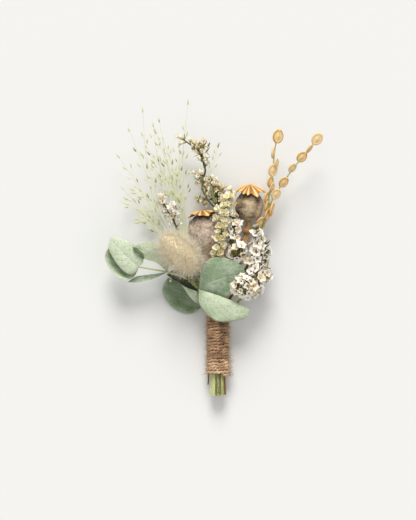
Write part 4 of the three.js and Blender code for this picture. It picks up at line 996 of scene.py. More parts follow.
def poppy_capsule(side, poppy):
    """A ribbed, lumpy shell turned from the profile, laid along the line from neck to top."""
    rows, columns = 60, 80
    profile = smooth([(x, y, 0) for x, y in poppy["profile"]], rows)
    angle = ring(columns)
    rib = 1 + 0.02 * np.cos(CAPSULE_RIBS * angle)
    skin = turned(np.maximum(profile[:, :1], 0) * rib, profile[:, 1:2], angle)
    outward = unit(skin * (1, 1, 0))
    lumps = 0.26 * wave_at(skin, 2.6, 3.0 + poppy["tint"]) + 0.12 * wave_at(skin, 0.9, 5.0)
    fullness = np.clip(np.linalg.norm(skin[:, :2], axis=1) / 3, 0, 1)
    skin += outward * (lumps * fullness)[:, None]
    axis = unit(np.subtract(poppy["top"], poppy["neck"]))
    level = unit(np.cross(axis, (0, 0, 1)))
    skin = skin @ turn_to(axis).T
    skin += (poppy["broad"] - 1) * (skin @ level)[:, None] * level
    skin += poppy["neck"]
    # It rests on the table, and the table doesn't let it sink in
    skin[:, 2] = np.maximum(skin[:, 2], TABLE_GAP)
    risen = np.clip(profile[:, 1] / profile[-1, 1], 0, 1)
    along = poppy["foot"] + (1 - poppy["foot"]) * risen / DARK_SKIN_AND_SHADE_UNDER_CAP
    pile = Pile()
    pile.add(skin, grid_faces(rows, columns, around=True), along=np.repeat(along, columns),
             tint=poppy["tint"])
    piece = weld(pile.make(f"poppy_{side}_capsule_skin", CAPSULE))
    return dress(piece, "poppy_capsule", f"poppy_{side}_capsule")


# %% Caps
CAP_RAYS = 12
CAP_SEED = 4


def poppy_cap(side, poppy):
    """A cap with a raised ridge along each ray; its rays droop unevenly and end in points."""
    rows, columns = 20, CAP_RAYS * 12
    rng = np.random.default_rng(CAP_SEED)
    reach = np.linspace(0, 1, rows)[:, None]
    turn = np.arange(columns)[None, :] / columns
    angle = 2 * math.pi * turn
    own = np.round(turn * CAP_RAYS).astype(int) % CAP_RAYS
    point = 1 - 2 * np.abs(turn * CAP_RAYS - np.round(turn * CAP_RAYS))
    crest = (0.5 + 0.5 * np.cos(CAP_RAYS * angle)) ** 3
    longer = rng.uniform(0.84, 1.1, CAP_RAYS)[own]
    deeper = rng.uniform(0.4, 1.5, CAP_RAYS)[np.floor(turn * CAP_RAYS).astype(int)]
    lower = poppy["ragged"] * rng.uniform(-1, 1, CAP_RAYS)[own]
    cleft = poppy["notch"] * deeper * (1 - point) * reach**2
    radius = poppy["cap"] * reach * (1 + (longer - 1) * reach**2) * (1 - cleft)
    wave = (poppy["wave"] * np.cos(3 * angle + 0.7) + lower * point) * reach**3
    fall = -poppy["droop"] * (radius / poppy["cap"]) ** poppy["bend"]
    height = fall + 0.75 * crest * np.minimum(1, 3 * reach) * (1 - 0.5 * reach) + wave
    thick = 0.34 * (1 - reach**8) * np.ones_like(angle)
    # No two rays are equally wide
    angle = angle + poppy["ragged"] * (0.14 * np.sin(2 * angle + 1) + 0.09 * np.sin(5 * angle))
    axis = unit(unit(np.subtract(poppy["top"], poppy["neck"])) + (0, 0, poppy["tilt"]))
    pile = Pile()
    for face in (1, -1):
        layer = turned(radius, height + face * thick, angle)
        pile.add(layer @ turn_to(axis).T + poppy["top"], grid_faces(rows, columns, around=True),
                 ridge=(crest * np.ones_like(reach) * 0.75 + 0.15 * reach).ravel())
    piece = weld(pile.make(f"poppy_{side}_cap", CAP))
    return dress(piece, "poppy_crown", f"poppy_{side}_crown")


for side, poppy in POPPIES.items():
    poppy_capsule(side, poppy)
    poppy_cap(side, poppy)


# %% Stalks
def below_neck(poppy):
    """Where a stalk ends, a little below its capsule."""
    return np.array(poppy["neck"]) - 0.3 * unit(np.subtract(poppy["top"], poppy["neck"]))


stems = Stems()
stems.add(*outer(4, [(-1.6, 6, 3.2), (-3.2, 15, 5.2), below_neck(POPPIES["left"])], 0.3), 1.3, 0.85,
          capped=True)
dress(stems.grow("poppy_left_stalk", DRY_STEM), "straw_stem", "poppy_left_stem")

RIGHT_STALK = [(2.6, 7, 4.9), (7.2, 20, 4.6), (12.6, 34, 4.9), (14.8, 42, 5.5),
               below_neck(POPPIES["right"])]
# It is thin in the wrap, swells above it and narrows again to the neck
THIN_STEPS, SWOLLEN_STEP = 30, 45
stems = Stems()
path, girth = inner(2, RIGHT_STALK, 0.6)
stems.add(path[:THIN_STEPS + 1], girth, girth, 0.93, capped=True)
stems.add(path[THIN_STEPS:SWOLLEN_STEP + 1], girth, 1.75, 0.93)
stems.add(path[SWOLLEN_STEP:], 1.75, 1.45, 0.95)
# The scar where the petals fell is a low ring round the stalk
SCAR_STEPS = 8
scar_path = smooth([(14.2, 40.4, 5.8), (14.4, 41, 5.9), (14.6, 41.5, 5.9), (14.8, 42.1, 5.8)],
                   SCAR_STEPS + 1)
for i in range(SCAR_STEPS):
    swell = 1.6 + 1.1 * math.sin(math.pi * (i + 0.5) / SCAR_STEPS)
    stems.add(scar_path[i:i + 2], swell, swell, 1.2)
dress(stems.grow("poppy_right_stalk", DRY_STEM, sides=14), "straw_stem", "poppy_right_stem")

# %% [markdown]
# The grass is a fine panicle: culms thin as hairs, branchlets thinner still, and a small
# pointed spikelet at the end of each. From above it reads as a pale green haze of dashes.

# %% Grass materials
GRASS, tree, surface = new_material("dried_panicle_grass", 0.75)
tint, along = (add(tree, "ShaderNodeAttribute", {"attribute_name": field}).outputs["Fac"]
               for field in ("tint", "along"))
shade = add(tree, "ShaderNodeValToRGB", links={0: tint},
            stops={0.0: "#eceed8", 0.4: "#dde2ae", 0.75: "#c3cb84", 1.0: "#959c57"})
pale = add(tree, "ShaderNodeMapRange", links={0: along, 1: 0.3, 2: 1.0, 3: 0.0, 4: 0.5})
add(tree, "ShaderNodeMix", {"data_type": "RGBA"},
    {0: pale, MIX_A: shade, MIX_B: colour("#d9d6ae")}, to=surface.inputs["Base Color"])

# %% Growing the grass
GRASS_FORK = (-13.6, 27.6, 3.9)
CULMS = [
    [(-17.6, 42, 4.4), (-17.8, 62, 6.4), (-17.6, 80, 6.6), (-15.2, 103.4, 10)],
    [(-20, 45, 4.6), (-21.6, 60, 6), (-26, 76, 8), (-30.5, 89, 11)],
    [(-22.4, 44, 4.4), (-25.6, 62, 6.8), (-30.2, 78, 9.6), (-32, 92, 13)],
    [(-23.6, 42, 4.2), (-29.8, 58, 6), (-35.4, 76, 9), (-37.4, 99.4, 13)],
    [(-24.6, 41, 4), (-31.6, 56, 5.4), (-36.6, 72, 8.4), (-43.6, 90, 12)],
    [(-26, 40, 3.8), (-34, 54, 5), (-41, 66, 7), (-48.6, 77, 9)],
    [(-26.6, 37.6, 3.6), (-34.4, 48, 4.4), (-46.4, 61.4, 6)],
    [(-16.4, 42, 4.5), (-18.5, 56, 6), (-22.5, 72, 8), (-27, 86, 11.5)],
    [(-17, 42, 4.4), (-20.6, 58, 6.2), (-25, 74, 8.4), (-29, 94.5, 12)],
    [(-17.6, 40, 4.4), (-19.6, 56, 6), (-22, 66, 7.4), (-24.8, 75, 9)],
    [(-18.6, 42, 4.4), (-22.4, 58, 6), (-28, 72, 8.2), (-34.8, 82, 10.6)],
    [(-19.6, 42, 4.4), (-24, 58, 6), (-27.4, 66, 7.5), (-31.4, 72, 9)],
    [(-16, 44, 4.4), (-18.2, 62, 6.2), (-19.2, 72, 8), (-19.4, 82, 9.4)],
    [(-24, 40, 4), (-30, 50, 5), (-36, 58, 6.4), (-41, 61, 7.4)],
    [(-25, 39, 4), (-33, 47, 5), (-40, 53, 6), (-45.4, 55, 6.6)],
    [(-24, 36, 4), (-30, 42, 4.6), (-35, 46, 5.4), (-39, 47, 6)],
    [(-14.8, 44, 5), (-8, 62, 7.4), (-2.6, 74, 9.4), (-0.4, 82, 10.8)],
]
BRANCHLETS = 10
CULM_GIRTH = 0.12
CULM_STEPS, BARE_STEPS = 60, 22
rng = np.random.default_rng(5)


def nodding(path_point, heading, length, swing, rise):
    """A short branchlet that leaves the culm at an angle and bends back towards its heading."""
    side = unit(np.cross(heading, (0, 0, 1)))
    away = unit(heading + swing * side + np.array([0, 0, rise]))
    middle = path_point + away * length * 0.5
    tip = middle + unit(away + 0.5 * heading) * length * 0.5
    return smooth([path_point, middle, tip], 6)


grass = Stems()
spikelets = Copies()
grass.add(*outer(3, [(-5.4, 8, 3.2), (-9.4, 17.6, 3.3), GRASS_FORK], 0.1), 0.9, 0.15, capped=True)
for number, culm in enumerate(CULMS):
    fork = np.array(GRASS_FORK) + (0.25 * (3 - number % 7), -0.5, 0.2 * (number > 6))
    path = smooth([fork, *culm], CULM_STEPS)
    grass.add(path, CULM_GIRTH * 2.1, CULM_GIRTH * 0.7, 0.3)
    ways = headings(path)
    for i in range(BRANCHLETS):
        last = i == BRANCHLETS - 1
        spot = (CULM_STEPS - 1 if last else
                int(BARE_STEPS + (CULM_STEPS - 1 - BARE_STEPS) * i / BRANCHLETS
                    + rng.uniform(-1, 1)))
        length = 0.8 if last else rng.uniform(2.0, 7.5) * (1 - 0.4 * i / BRANCHLETS)
        swing = 0.0 if last else rng.uniform(0.25, 0.8) * (1 if i % 2 else -1)
        rise = 0.0 if last else rng.uniform(-0.15, 0.5)
        twig = nodding(path[spot], ways[spot], length, swing, rise)
        grass.add(twig, 0.075, 0.055, 0.05)
        size = rng.uniform(0.8, 1.15)
        shade = rng.uniform(0.2, 0.65) if rng.random() < 0.88 else 1.0
        spikelets.add(twig[-1], twig[-1] - twig[-2], rng.uniform(0, 6), size, shade)
dress(grass.grow("grass_culms", GRASS, sides=5), "green_grass", "grass_spray")


# %% Spikelets
SPIKELET_LENGTH = 3.0


def spikelet_shape():
    """A slim spikelet, pointed at its tip and a little flattened."""
    rows, columns = 7, 6
    reach = np.linspace(0, 1, rows)
    radius = 0.46 * np.sin(math.pi * reach**0.75) ** 0.8
    radius[-1] = 0
    pile = Pile()
    pile.add(turned(radius[:, None], SPIKELET_LENGTH * reach[:, None], ring(columns), flat=0.75),
             grid_faces(rows, columns, around=True), along=np.repeat(reach, columns))
    return weld(pile.make("spikelet_shape", at=0))


shape = spikelet_shape()
dress(spikelets.grow("grass_spikelets", shape, GRASS), "green_grass")
put_away(shape)
print("spikelets:", len(CULMS) * BRANCHLETS)

# %% [markdown]
# Sea lavender keeps its colour when dry because what shows is not the petals but the calyx: a
# papery pleated cup with five lobes. Deep in each sits the withered flower as a brown speck.
# The cup is turned from a profile, and its rim is pulled in between the lobes.


# %% Papery cups
def cup_shape(name, rows, seed, notch=0.3, pleat=0.14):
    """A lobed cup; rows are radius, height, how lobed that row is, and its zone of colour."""
    rng = np.random.default_rng(seed)
    lobes, columns = 5, 20
    angle = ring(columns)
    lobe = 0.5 + 0.5 * np.cos(lobes * angle)
    own = np.round(angle * lobes / (2 * math.pi)).astype(int) % lobes
    longer = rng.uniform(0.75, 1.15, lobes)[own]
    raised = rng.uniform(-0.5, 0.5, lobes)[own]
    fold = np.where(np.arange(columns) % 2 == 0, 1.0, -1.0)
    radius, height, lobed, zone = np.array(rows, float).T[..., None]
    reach = radius * (1 + lobed * (longer - 1)) * (1 - notch * lobed * (1 - lobe))
    lift = height + pleat * lobed * fold + lobed * raised * lobe
    pile = Pile()
    pile.add(turned(reach, lift, angle), grid_faces(len(rows), columns, around=True),
             zone=np.repeat(zone, columns))
    return weld(pile.make(name, at=0))


WHITE_CUP = [
    (0.0, 0.0, 0, 0.0), (0.3, 0.1, 0, 0.0), (0.42, 0.9, 0, 0.15), (0.7, 1.7, 0.1, 0.4),
    (1.4, 2.35, 0.5, 0.6), (2.1, 2.8, 0.9, 0.7), (2.75, 2.95, 1.0, 0.75), (2.1, 2.9, 0.9, 0.75),
    (1.35, 2.5, 0.5, 0.7), (0.65, 2.1, 0.1, 0.5), (0.42, 1.95, 0, 0.9), (0.28, 2.3, 0, 1.0),
    (0.0, 2.45, 0, 1.0),
]
BUD_CUP = [
    (0.0, 0.0, 0, 0.0), (0.3, 0.1, 0, 0.0), (0.48, 0.9, 0, 0.2), (0.7, 1.9, 0.1, 0.5),
    (1.05, 2.8, 0.5, 0.65), (1.5, 3.7, 1.0, 0.78), (1.0, 3.0, 0.6, 0.7), (0.5, 2.4, 0.1, 0.5),
    (0.3, 2.6, 0, 1.0), (0.0, 2.8, 0, 1.0),
]
STAR_CUP = [
    (0.0, 0.0, 0, 0.0), (0.4, 0.05, 0, 0.1), (0.95, 0.5, 0.2, 0.4), (1.7, 1.1, 0.8, 0.6),
    (2.15, 2.0, 1.0, 0.85), (1.6, 1.3, 0.8, 0.7), (0.9, 1.0, 0.2, 0.45), (0.5, 0.95, 0, 0.35),
    (0.0, 0.9, 0, 0.3),
]
INNER_STAR = [
    (0.0, 0.8, 0, 0.2), (0.6, 0.9, 0.1, 0.35), (1.15, 1.5, 0.7, 0.6), (1.4, 2.5, 1.0, 0.9),
    (0.95, 1.6, 0.7, 0.6), (0.4, 1.3, 0, 0.45), (0.3, 1.7, 0, 0.95), (0.0, 1.85, 0, 1.0),
]


def double_star(name, seed):
    """A floret of two whorls: flat outer petals and steep inner ones, set between them."""
    outside = cup_shape(name, STAR_CUP, seed, notch=0.24, pleat=0.1)
    inside = cup_shape(name, INNER_STAR, seed + 9, notch=0.3, pleat=0.1)
    inside.data.transform(Matrix.Rotation(math.pi / 5, 4, "Z"))
    bm = bmesh.new()
    bm.from_mesh(outside.data)
    bm.from_mesh(inside.data)
    bm.to_mesh(outside.data)
    bm.free()
    put_away(inside)
    return outside


# %% Papery materials
def papery(name, stops, centres, roughness=0.8):
    """Papery calyx: zone runs from the green foot over the lobes to the withered centre; the foot's
    dark olive is partly the calyx's own green, partly painted shade under the cups.
    """
    material, tree, surface = new_material(name, roughness, **SHEEN)
    zone, tint = (add(tree, "ShaderNodeAttribute", {"attribute_name": field}).outputs["Fac"]
                  for field in ("zone", "tint"))
    place = add(tree, "ShaderNodeTexCoord").outputs["Object"]
    mottle = add(tree, "ShaderNodeTexNoise", links={"Vector": place, "Scale": 700.0, "Detail": 3.0})
    shade = graded(tree, zone, mottle, 0.2, 0.1, stops)
    dull = add(tree, "ShaderNodeValToRGB", links={0: tint}, stops={0.3: "#ffffff", 1.0: "#efe6d3"})
    aged = add(tree, "ShaderNodeMix", {"data_type": "RGBA", "blend_type": "MULTIPLY"},
               {0: 1.0, MIX_A: shade, MIX_B: dull})
    withered = add(tree, "ShaderNodeValToRGB", links={0: tint}, stops=centres)
    middle = add(tree, "ShaderNodeMapRange", links={0: zone, 1: 0.82, 2: 0.92})
    add(tree, "ShaderNodeMix", {"data_type": "RGBA"},
        {0: middle, MIX_A: aged, MIX_B: withered}, to=surface.inputs["Base Color"])
    add(tree, "ShaderNodeBump", links={"Strength": 0.3, "Distance": 0.0001, "Height": mottle},
        to=surface.inputs["Normal"])
    return material


BROWN_OR_ORANGE = {0.0: "#6b431f", 0.55: "#94602c", 0.8: "#b87a35", 0.9: "#e0922f"}
WHITE_PAPER = papery("white_papery_calyx", {
    0.0: "#5f5a2c", 0.2: "#8f834e", 0.45: "#d3caae", 0.62: "#f5f1e6", 0.8: "#fefcf6"},
    BROWN_OR_ORANGE)
BEIGE_PAPER = papery("beige_papery_calyx", {
    0.0: "#4f4f26", 0.2: "#8a7440", 0.42: "#d2bf92", 0.62: "#f7ecd0", 0.82: "#fffbee"},
    BROWN_OR_ORANGE)
YELLOW_PAPER = papery("pale_yellow_floret", {
    0.0: "#8d9048", 0.2: "#b9b66a", 0.4: "#e0d796", 0.62: "#f6efc2", 0.85: "#fffceb"},
    {0.0: "#c9b65f", 0.8: "#d6c473", 0.9: "#b5893a"})
# tint 0 is olive, 0.5 dark green, 1 brown
TWIG = stem_material("flower_twig",
                     {0.0: "#b9b67c", 0.35: "#6f7a42", 0.65: "#434721", 1.0: "#82602f"})

# %% [markdown]
# Flowers sit round a twig by the golden angle, as leaves and seeds do in most plants, because
# no two of them then stand above each other. Each has a short stalk of its own. A turn that
# would push a flower into one that is already there is skipped for the next.

# %% Sprigs of small flowers
GOLDEN_ANGLE = math.pi * (3 - math.sqrt(5))
SPACING = 1.5
VARIANTS = 4
TURNS_TRIED = 8
TWIG_STEPS = 50


class Sprig:
    """A stem, its twigs and the flowers on them."""

    def __init__(self, seed, radius, stalk, depth):
        self.rng = np.random.default_rng(seed)
        self.radius, self.stalk, self.depth = radius, stalk, depth
        self.flowers = [Copies() for _ in range(VARIANTS)]
        self.faces, self.feet, self.twigs = [], [], []
        self.stems, self.bracts = Stems(), Pile()

    def twig(self, knots, root, tip, tint=0.5):
        """A twig, on which flowers may stand."""
        path = smooth(knots, TWIG_STEPS)
        self.stems.add(path, root, tip, tint)
        self.twigs.append(path)
        return path

    def flower(self, root, face, facing, size, tint):
        """One flower whose face opens at a place, on a stalk that bends from its root."""
        facing = unit(facing)
        foot = np.array(face) - facing * self.depth * size
        middle = (np.array(root) + foot) / 2 - 0.12 * facing * self.depth
        self.stems.add(smooth([root, middle, foot + 0.1 * facing], 5), 0.24, 0.2,
                       self.rng.choice((0.3, 0.6, 1.0)))
        self.flowers[len(self.faces) % VARIANTS].add(foot, facing, self.rng.uniform(0, 6), size,
                                                     tint)
        self.faces.append(np.array(face))
        self.feet.append((foot, facing, size))

    def along(self, path, first, last, count, lean, lift, sizes=(0.85, 1.1)):
        """Flowers set round a path by the golden angle; lean and lift turn them ahead and up."""
        stops = np.linspace(first, last, count)
        ways = headings(path)
        for i, stop in enumerate(stops):
            spot = min(int(stop * (len(path) - 1)), len(path) - 1)
            side = unit(np.cross(ways[spot], (0, 0, 1)))
            up = np.cross(side, ways[spot])
            for turn in range(TURNS_TRIED):
                angle = GOLDEN_ANGLE * (i + turn) + self.rng.uniform(-0.3, 0.3)
                ahead = ways[spot] * (lean + self.rng.uniform(-0.2, 0.2))
                facing = unit(side * math.cos(angle) + up * (math.sin(angle) + lift) + ahead)
                size = self.rng.uniform(*sizes)
                face = path[spot] + facing * (self.stalk + self.depth * size)
                gaps = [np.linalg.norm(face - other) for other in self.faces]
                if min(gaps, default=math.inf) > SPACING * self.radius:
                    self.flower(path[spot], face, facing, size, self.rng.uniform(0, 1))
                    break

    def show(self, rows, reach=1.2, rise=1.0, scale=1.0, jitter=0.35):
        """Flowers on stalks from the nearest twig; a row is place, facing and size."""
        every = np.vstack(self.twigs)
        for x, y, z, dx, dy, dz, size in rows:
            size *= scale * self.rng.uniform(0.9, 1.15)
            x, y = x + self.rng.uniform(-jitter, jitter), y + self.rng.uniform(-jitter, jitter)
            facing = unit((dx, dy, rise * dz))
            foot = np.array([x, y, z]) - facing * (self.depth * size + reach)
            root = every[np.argmin(np.linalg.norm(every - foot, axis=1))]
            self.flower(root, (x, y, z), facing, size, self.rng.uniform(0, 1))

    def bract(self, place, direction, length, width, tint):
        small_bract(self.bracts, place, direction, length, width, tint)

    def fringe(self, tints, count, length=4.0):
        """Withered bracts stand round the foot of each flower and show between the cups."""
        for foot, facing, size in self.feet:
            side = unit(np.cross(facing, (0.3, 0.9, 0.2)))
            for _ in range(count):
                swing = self.rng.uniform(0, 2 * math.pi)
                away = side * math.cos(swing) + np.cross(facing, side) * math.sin(swing)
                longer = length * size * self.rng.uniform(0.75, 1.1)
                self.bract(foot, facing + 1.15 * away, longer, 0.45, self.rng.choice(tints))

    def finish(self, name, shapes, paper, slot, node):
        """Makes the flowers, the twigs and the bracts, each as pieces of their own."""
        for i, (copies, shape) in enumerate(zip(self.flowers, shapes)):
            dress(copies.grow(f"{name}_flowers_{i + 1}", shape, paper), slot, node)
        dress(self.stems.grow(f"{name}_twigs", TWIG, sides=6), slot)
        if self.bracts.points:
            dress(weld(self.bracts.make(f"{name}_bracts", TWIG)), slot)
        print(name, "flowers:", len(self.faces))


def cups(name, rows, **how):
    return [cup_shape(f"{name}_{i}", rows, seed=i, **how) for i in range(VARIANTS)]


white_cups = cups("white_cup_shape", WHITE_CUP, notch=0.34)
bud_cups = cups("bud_cup_shape", BUD_CUP, notch=0.45)
star_cups = [double_star(f"double_star_shape_{i}", i) for i in range(VARIANTS)]

# %% The tall beige sprig
top = Sprig(31, radius=1.4, stalk=0.5, depth=2.4)
top.stems.add(*outer(5, [(1.5, 9, 2.9), (1.8, 26, 3.4), (1.8, 43, 4.2), (0.2, 53, 5.4),
                         (-2.8, 57.4, 6.1), (-5.3, 60.6, 6.8)], 0.4), 0.55, 0.55, capped=True)
main = top.twig([(-5.3, 60.6, 6.8), (-7.4, 66, 8), (-6.4, 72.4, 9.4), (-9.6, 80.6, 11),
                 (-17.4, 87.2, 12)], 0.62, 0.3, 0.6)
fork = top.twig([(-6.8, 73, 9.4), (-8, 79.6, 10.6), (-5.6, 86.4, 12)], 0.4, 0.2, 0.6)
side = top.twig([(0.2, 53, 5.4), (-0.8, 60, 7.6), (-3.4, 67, 9.4)], 0.6, 0.3, 0.45)
back = top.twig([(0.9, 50, 5), (1.2, 58, 7.4), (0.4, 63, 8.6)], 0.4, 0.3, 0.5)
low = top.twig([(-2.8, 57.4, 6.1), (-6, 57, 8), (-9.2, 58.8, 9.4)], 0.3, 0.18)
top.twig([(0.2, 53, 5.4), (-1.7, 53.2, 9), (-5, 57, 12.6), (-7.6, 61.6, 13.6), (-8, 66, 13.2),
          (-7.4, 69.4, 11.4)], 0.45, 0.35, 0.55)
top.show([
    (-18.5, 88, 12.5, -0.7, 0.5, 0.5, 1.25), (-14, 86.5, 12.3, -0.2, 0.8, 0.6, 0.95),
    (-12.8, 84, 12, 0.2, 0.8, 0.6, 0.85), (-9.5, 83.5, 13, 0, 0.4, 1, 1.3),
    (-10.8, 84.8, 12.5, -0.4, 0.7, 0.8, 1.15), (-8, 84.8, 12.5, 0.3, 0.7, 0.7, 1.15),
    (-6.8, 86.6, 12.6, 0.3, 0.9, 0.4, 1.1), (-5.8, 84, 12.2, 0.8, 0.3, 0.5, 1.05),
    (-10.5, 80.5, 12.5, -0.6, 0.3, 0.8, 1.1), (-5.8, 78.8, 12, 0.7, 0.6, 0.6, 1.35),
    (-8, 81, 13.4, 0.2, 0.3, 1, 1.2), (-6.8, 77, 11.6, 0.7, 0.3, 0.6, 1),
    (-12, 70.5, 11.3, -0.7, 0.4, 0.6, 1.1), (-8.5, 70.5, 12, -0.1, 0.5, 0.9, 1.3),
    (-10, 69, 12, -0.3, 0.2, 1, 1.1), (-9.5, 65.5, 11.5, -0.5, -0.1, 0.9, 1.2),
    (-6.8, 67.3, 11.6, 0.4, 0.3, 0.9, 1.1), (-6.3, 64.8, 11.4, 0.6, -0.1, 0.9, 1.15),
    (-4.8, 63, 11, 0.8, -0.1, 0.7, 1.1), (-5, 60.5, 10.5, 0.5, 0, 1, 1.2),
    (-8.5, 56.5, 10, -0.7, -0.2, 0.8, 1.2), (-6, 55.5, 10, -0.2, -0.3, 1, 1.1),
    (-2, 65, 11.5, -0.1, 0.5, 0.9, 1.2), (-0.2, 64.5, 11.5, 0.3, 0.5, 0.9, 1.1),
    (-1.5, 62, 11.2, 0.1, 0.1, 1, 1.1), (2, 63, 11, 0.5, 0.5, 0.7, 1.1),
    (0.6, 60.4, 11, 0.3, 0, 1, 1.15), (-2.6, 59, 10.6, -0.3, 0, 1, 1.1),
    (-7.6, 62.4, 11, -0.1, -0.1, 1, 1.05),
], rise=0.6, scale=0.85)
top.along(main, 0.55, 0.95, 5, 0.9, 0.35, sizes=(0.7, 0.9))
top.along(low, 0.5, 1.0, 2, 0.8, 0.45, sizes=(0.7, 0.9))
top.along(side, 0.2, 1.0, 13, 0.6, 0.7, sizes=(0.85, 1.1))
top.along(back, 0.1, 1.0, 13, 0.5, 0.7, sizes=(0.85, 1.1))
top.fringe((0.0, 0.1, 0.35), 2, 3.4)
for *place, dx, dy, dz, length in [
    (-12.6, 81, 11.6, 0.3, 1, 0.4, 4), (-9.6, 85, 12.4, 0.5, -0.6, 0.5, 3.4),
    (-6.6, 80, 11.6, 0.7, 0.9, 0.4, 4), (-5.4, 82.5, 12, 0.4, 0.9, 0.3, 3.2),
    (-7.3, 66, 9, 1, 0.6, 0.4, 3), (-12, 68, 11, 0.8, -0.5, 0.6, 3),
    (-7, 55.6, 9, -1, 0.2, 0.4, 3.6), (-5.6, 53.6, 9, -0.4, 0.3, 0.5, 3.4),
    (1.8, 62, 10.4, 0.6, -0.8, 0.4, 3.6), (5.4, 58, 10, 0.8, 0.5, 0.4, 3.6),
    (-9.6, 83, 12.8, 0.2, 1, 0.4, 3),
]:
    top.bract(place, (dx, dy, dz), length + 0.6, 0.45, 0.42)
top.bract((-1.6, 54.6, 11.6), (-0.22, 1, 0.16), 11, 0.85, 0.3)
top.finish("statice_top", bud_cups, BEIGE_PAPER, "beige_flower", "statice_top")

# %% The small sprig beside the bunny tail
small = Sprig(41, radius=1.45, stalk=0.5, depth=2.8)
small.stems.add(*inner(1, [(-3.6, 8, 5.2), (-8.2, 17.6, 6), (-14.6, 29.4, 7.2),
                           (-19.6, 40, 8.2), (-22, 46.4, 9.6)], 0.2), 0.45, 0.65, capped=True)
path = small.twig([(-19.6, 40, 8.2), (-22, 46.4, 9.6), (-25.4, 52, 11), (-29, 58, 12)], 0.45, 0.2,
                  0.7)
small.twig([(-22, 46.4, 9.6), (-20.8, 52, 11.4), (-21.8, 56, 12.6)], 0.35, 0.2, 0.8)
small.stems.add([(-4.6, -28.5, 6.3), (-4.75, -31.5, 6.4), (-4.8, -33.5, 6.5), (-4.95, -35.4, 6.6)],
                0.45, 0.34, 0.75, capped=True)
small.show([
    (-28.5, 59, 13.5, -0.2, 0.8, 0.6, 1.25), (-29.5, 56.5, 13, -0.8, 0.3, 0.6, 1.05),
    (-27.5, 56, 13.6, 0.3, 0.4, 0.9, 1.1), (-28.5, 54, 13, -0.5, -0.1, 0.9, 1),
    (-23.5, 52.5, 13.2, -0.2, 0.4, 1, 1.3), (-21.8, 54.4, 13.6, 0.1, 0.6, 0.9, 1.3),
    (-20.8, 50.5, 13, 0.5, 0.2, 0.9, 1.3), (-23, 49, 12.4, -0.3, -0.1, 1, 1.25),
    (-20.3, 47.7, 12, 0.5, 0, 0.9, 1.15), (-22, 51, 13.6, 0, 0.2, 1, 1.1),
], rise=0.6, scale=0.98)
small.along(path, 0.2, 0.95, 9, 0.8, 0.6, sizes=(0.75, 1.0))
small.bract((-26.4, 52.4, 12), (0.3, 1, 0.5), 3.6, 0.6, 0.5)
small.bract((-27, 53, 12), (-0.6, 1, 0.5), 3, 0.5, 0.95)
small.finish("statice_small", bud_cups, WHITE_PAPER, "beige_flower", "statice_small")

# %% The upper white sprig
upper = Sprig(51, radius=1.9, stalk=0.5, depth=3.0)
upper.stems.add(*outer(7, [(6, 7.6, 6.6), (11.6, 17.4, 9.4), (14.6, 24, 11.4)], 0.5), 0.6, 0.95,
                capped=True)
TWIGS = {
    "left": [(11.6, 17.4, 9.4), (10.6, 25, 11.6), (9.4, 33, 13.6), (9.6, 43, 14.6)],
    "middle": [(14.6, 24, 11.4), (17.2, 30, 14.2), (18.6, 36, 16), (19.2, 41.4, 17.2)],
    "right": [(14.6, 24, 11.4), (19.4, 26.4, 13), (22.8, 29.6, 13.6), (24, 34, 13.8)],
    "low": [(11.6, 17.4, 9.4), (17.6, 20.6, 12), (22.2, 22.6, 13.2), (23.4, 19.4, 14)],
    "far_left": [(10.6, 25, 11.6), (7, 34, 12.4), (6, 41, 13), (7.2, 47.6, 13.4)],
}
paths = {name: upper.twig(knots, 0.45, 0.25, 0.9) for name, knots in TWIGS.items()}
upper.show([
    (19, 41, 18.3, 0.1, 0.6, 0.8, 1.15), (19.4, 35.6, 18.4, 0, 0, 1, 1.25),
    (18.8, 30.9, 18, -0.1, -0.1, 1, 1.1), (21, 31.5, 17.2, 0.5, 0.1, 0.9, 1),
    (23.5, 29.5, 15.6, 0.9, 0, 0.5, 0.95), (22, 34, 17, 0.7, 0.2, 0.7, 1),
    (22.5, 38, 16.6, 0.8, 0.3, 0.5, 0.9), (16.9, 33.6, 17.4, -0.7, 0.2, 0.7, 0.85),
    (18, 37.6, 17.4, -0.6, 0.3, 0.7, 0.8), (15.7, 26.7, 17.4, -0.2, -0.2, 1, 1.2),
    (19.5, 27.5, 17.2, 0.3, -0.2, 1, 1), (25.5, 27, 14.6, 1, 0, 0.3, 0.95),
    (24.5, 24, 14.8, 1, -0.2, 0.3, 0.95), (22, 22.5, 16.2, 0.7, -0.2, 0.6, 1),
    (18.5, 23, 17.4, 0.1, 0, 1, 1), (16, 21, 17.6, -0.3, 0.1, 1, 0.95),
    (11.8, 34.7, 17.6, 0.2, 0.6, 0.8, 1.1), (8.5, 34, 17, -0.4, 0.5, 0.8, 1.05),
    (5.5, 32.5, 15.8, -0.9, 0.1, 0.5, 1), (6, 29, 15.8, -0.7, -0.4, 0.6, 1),
    (9.5, 27, 16.2, -0.1, -0.7, 0.7, 1.05), (13, 28.5, 17, 0.5, -0.4, 0.8, 1.05),
    (14, 32, 17.2, 0.8, 0.1, 0.7, 1), (8.6, 45.4, 15.8, 0, 0.4, 0.9, 0.9),
    (6.2, 46.6, 14.8, -0.6, 0.5, 0.7, 0.75), (11, 45.3, 15.6, 0.6, 0.3, 0.8, 0.85),
    (5.5, 42.5, 15.2, -0.8, 0, 0.6, 0.9), (10, 42, 16.8, 0.2, -0.3, 0.9, 0.95),
    (10.4, 41, 15.4, 0.8, -0.2, 0.6, 0.75), (7, 39, 16, -0.4, -0.2, 0.9, 0.9),
    (9.6, 38.2, 16.4, 0.4, 0, 0.9, 0.75), (4.9, 43.4, 12.6, -0.6, 0.2, 0.8, 0.95),
    (4.6, 38.6, 12.4, -0.6, 0, 0.8, 0.95), (4.2, 34.8, 12.6, -0.6, 0, 0.8, 1),
    (5, 31, 12.4, -0.5, -0.2, 0.9, 1), (7.4, 50.2, 14, -0.1, 0.8, 0.6, 0.85),
])
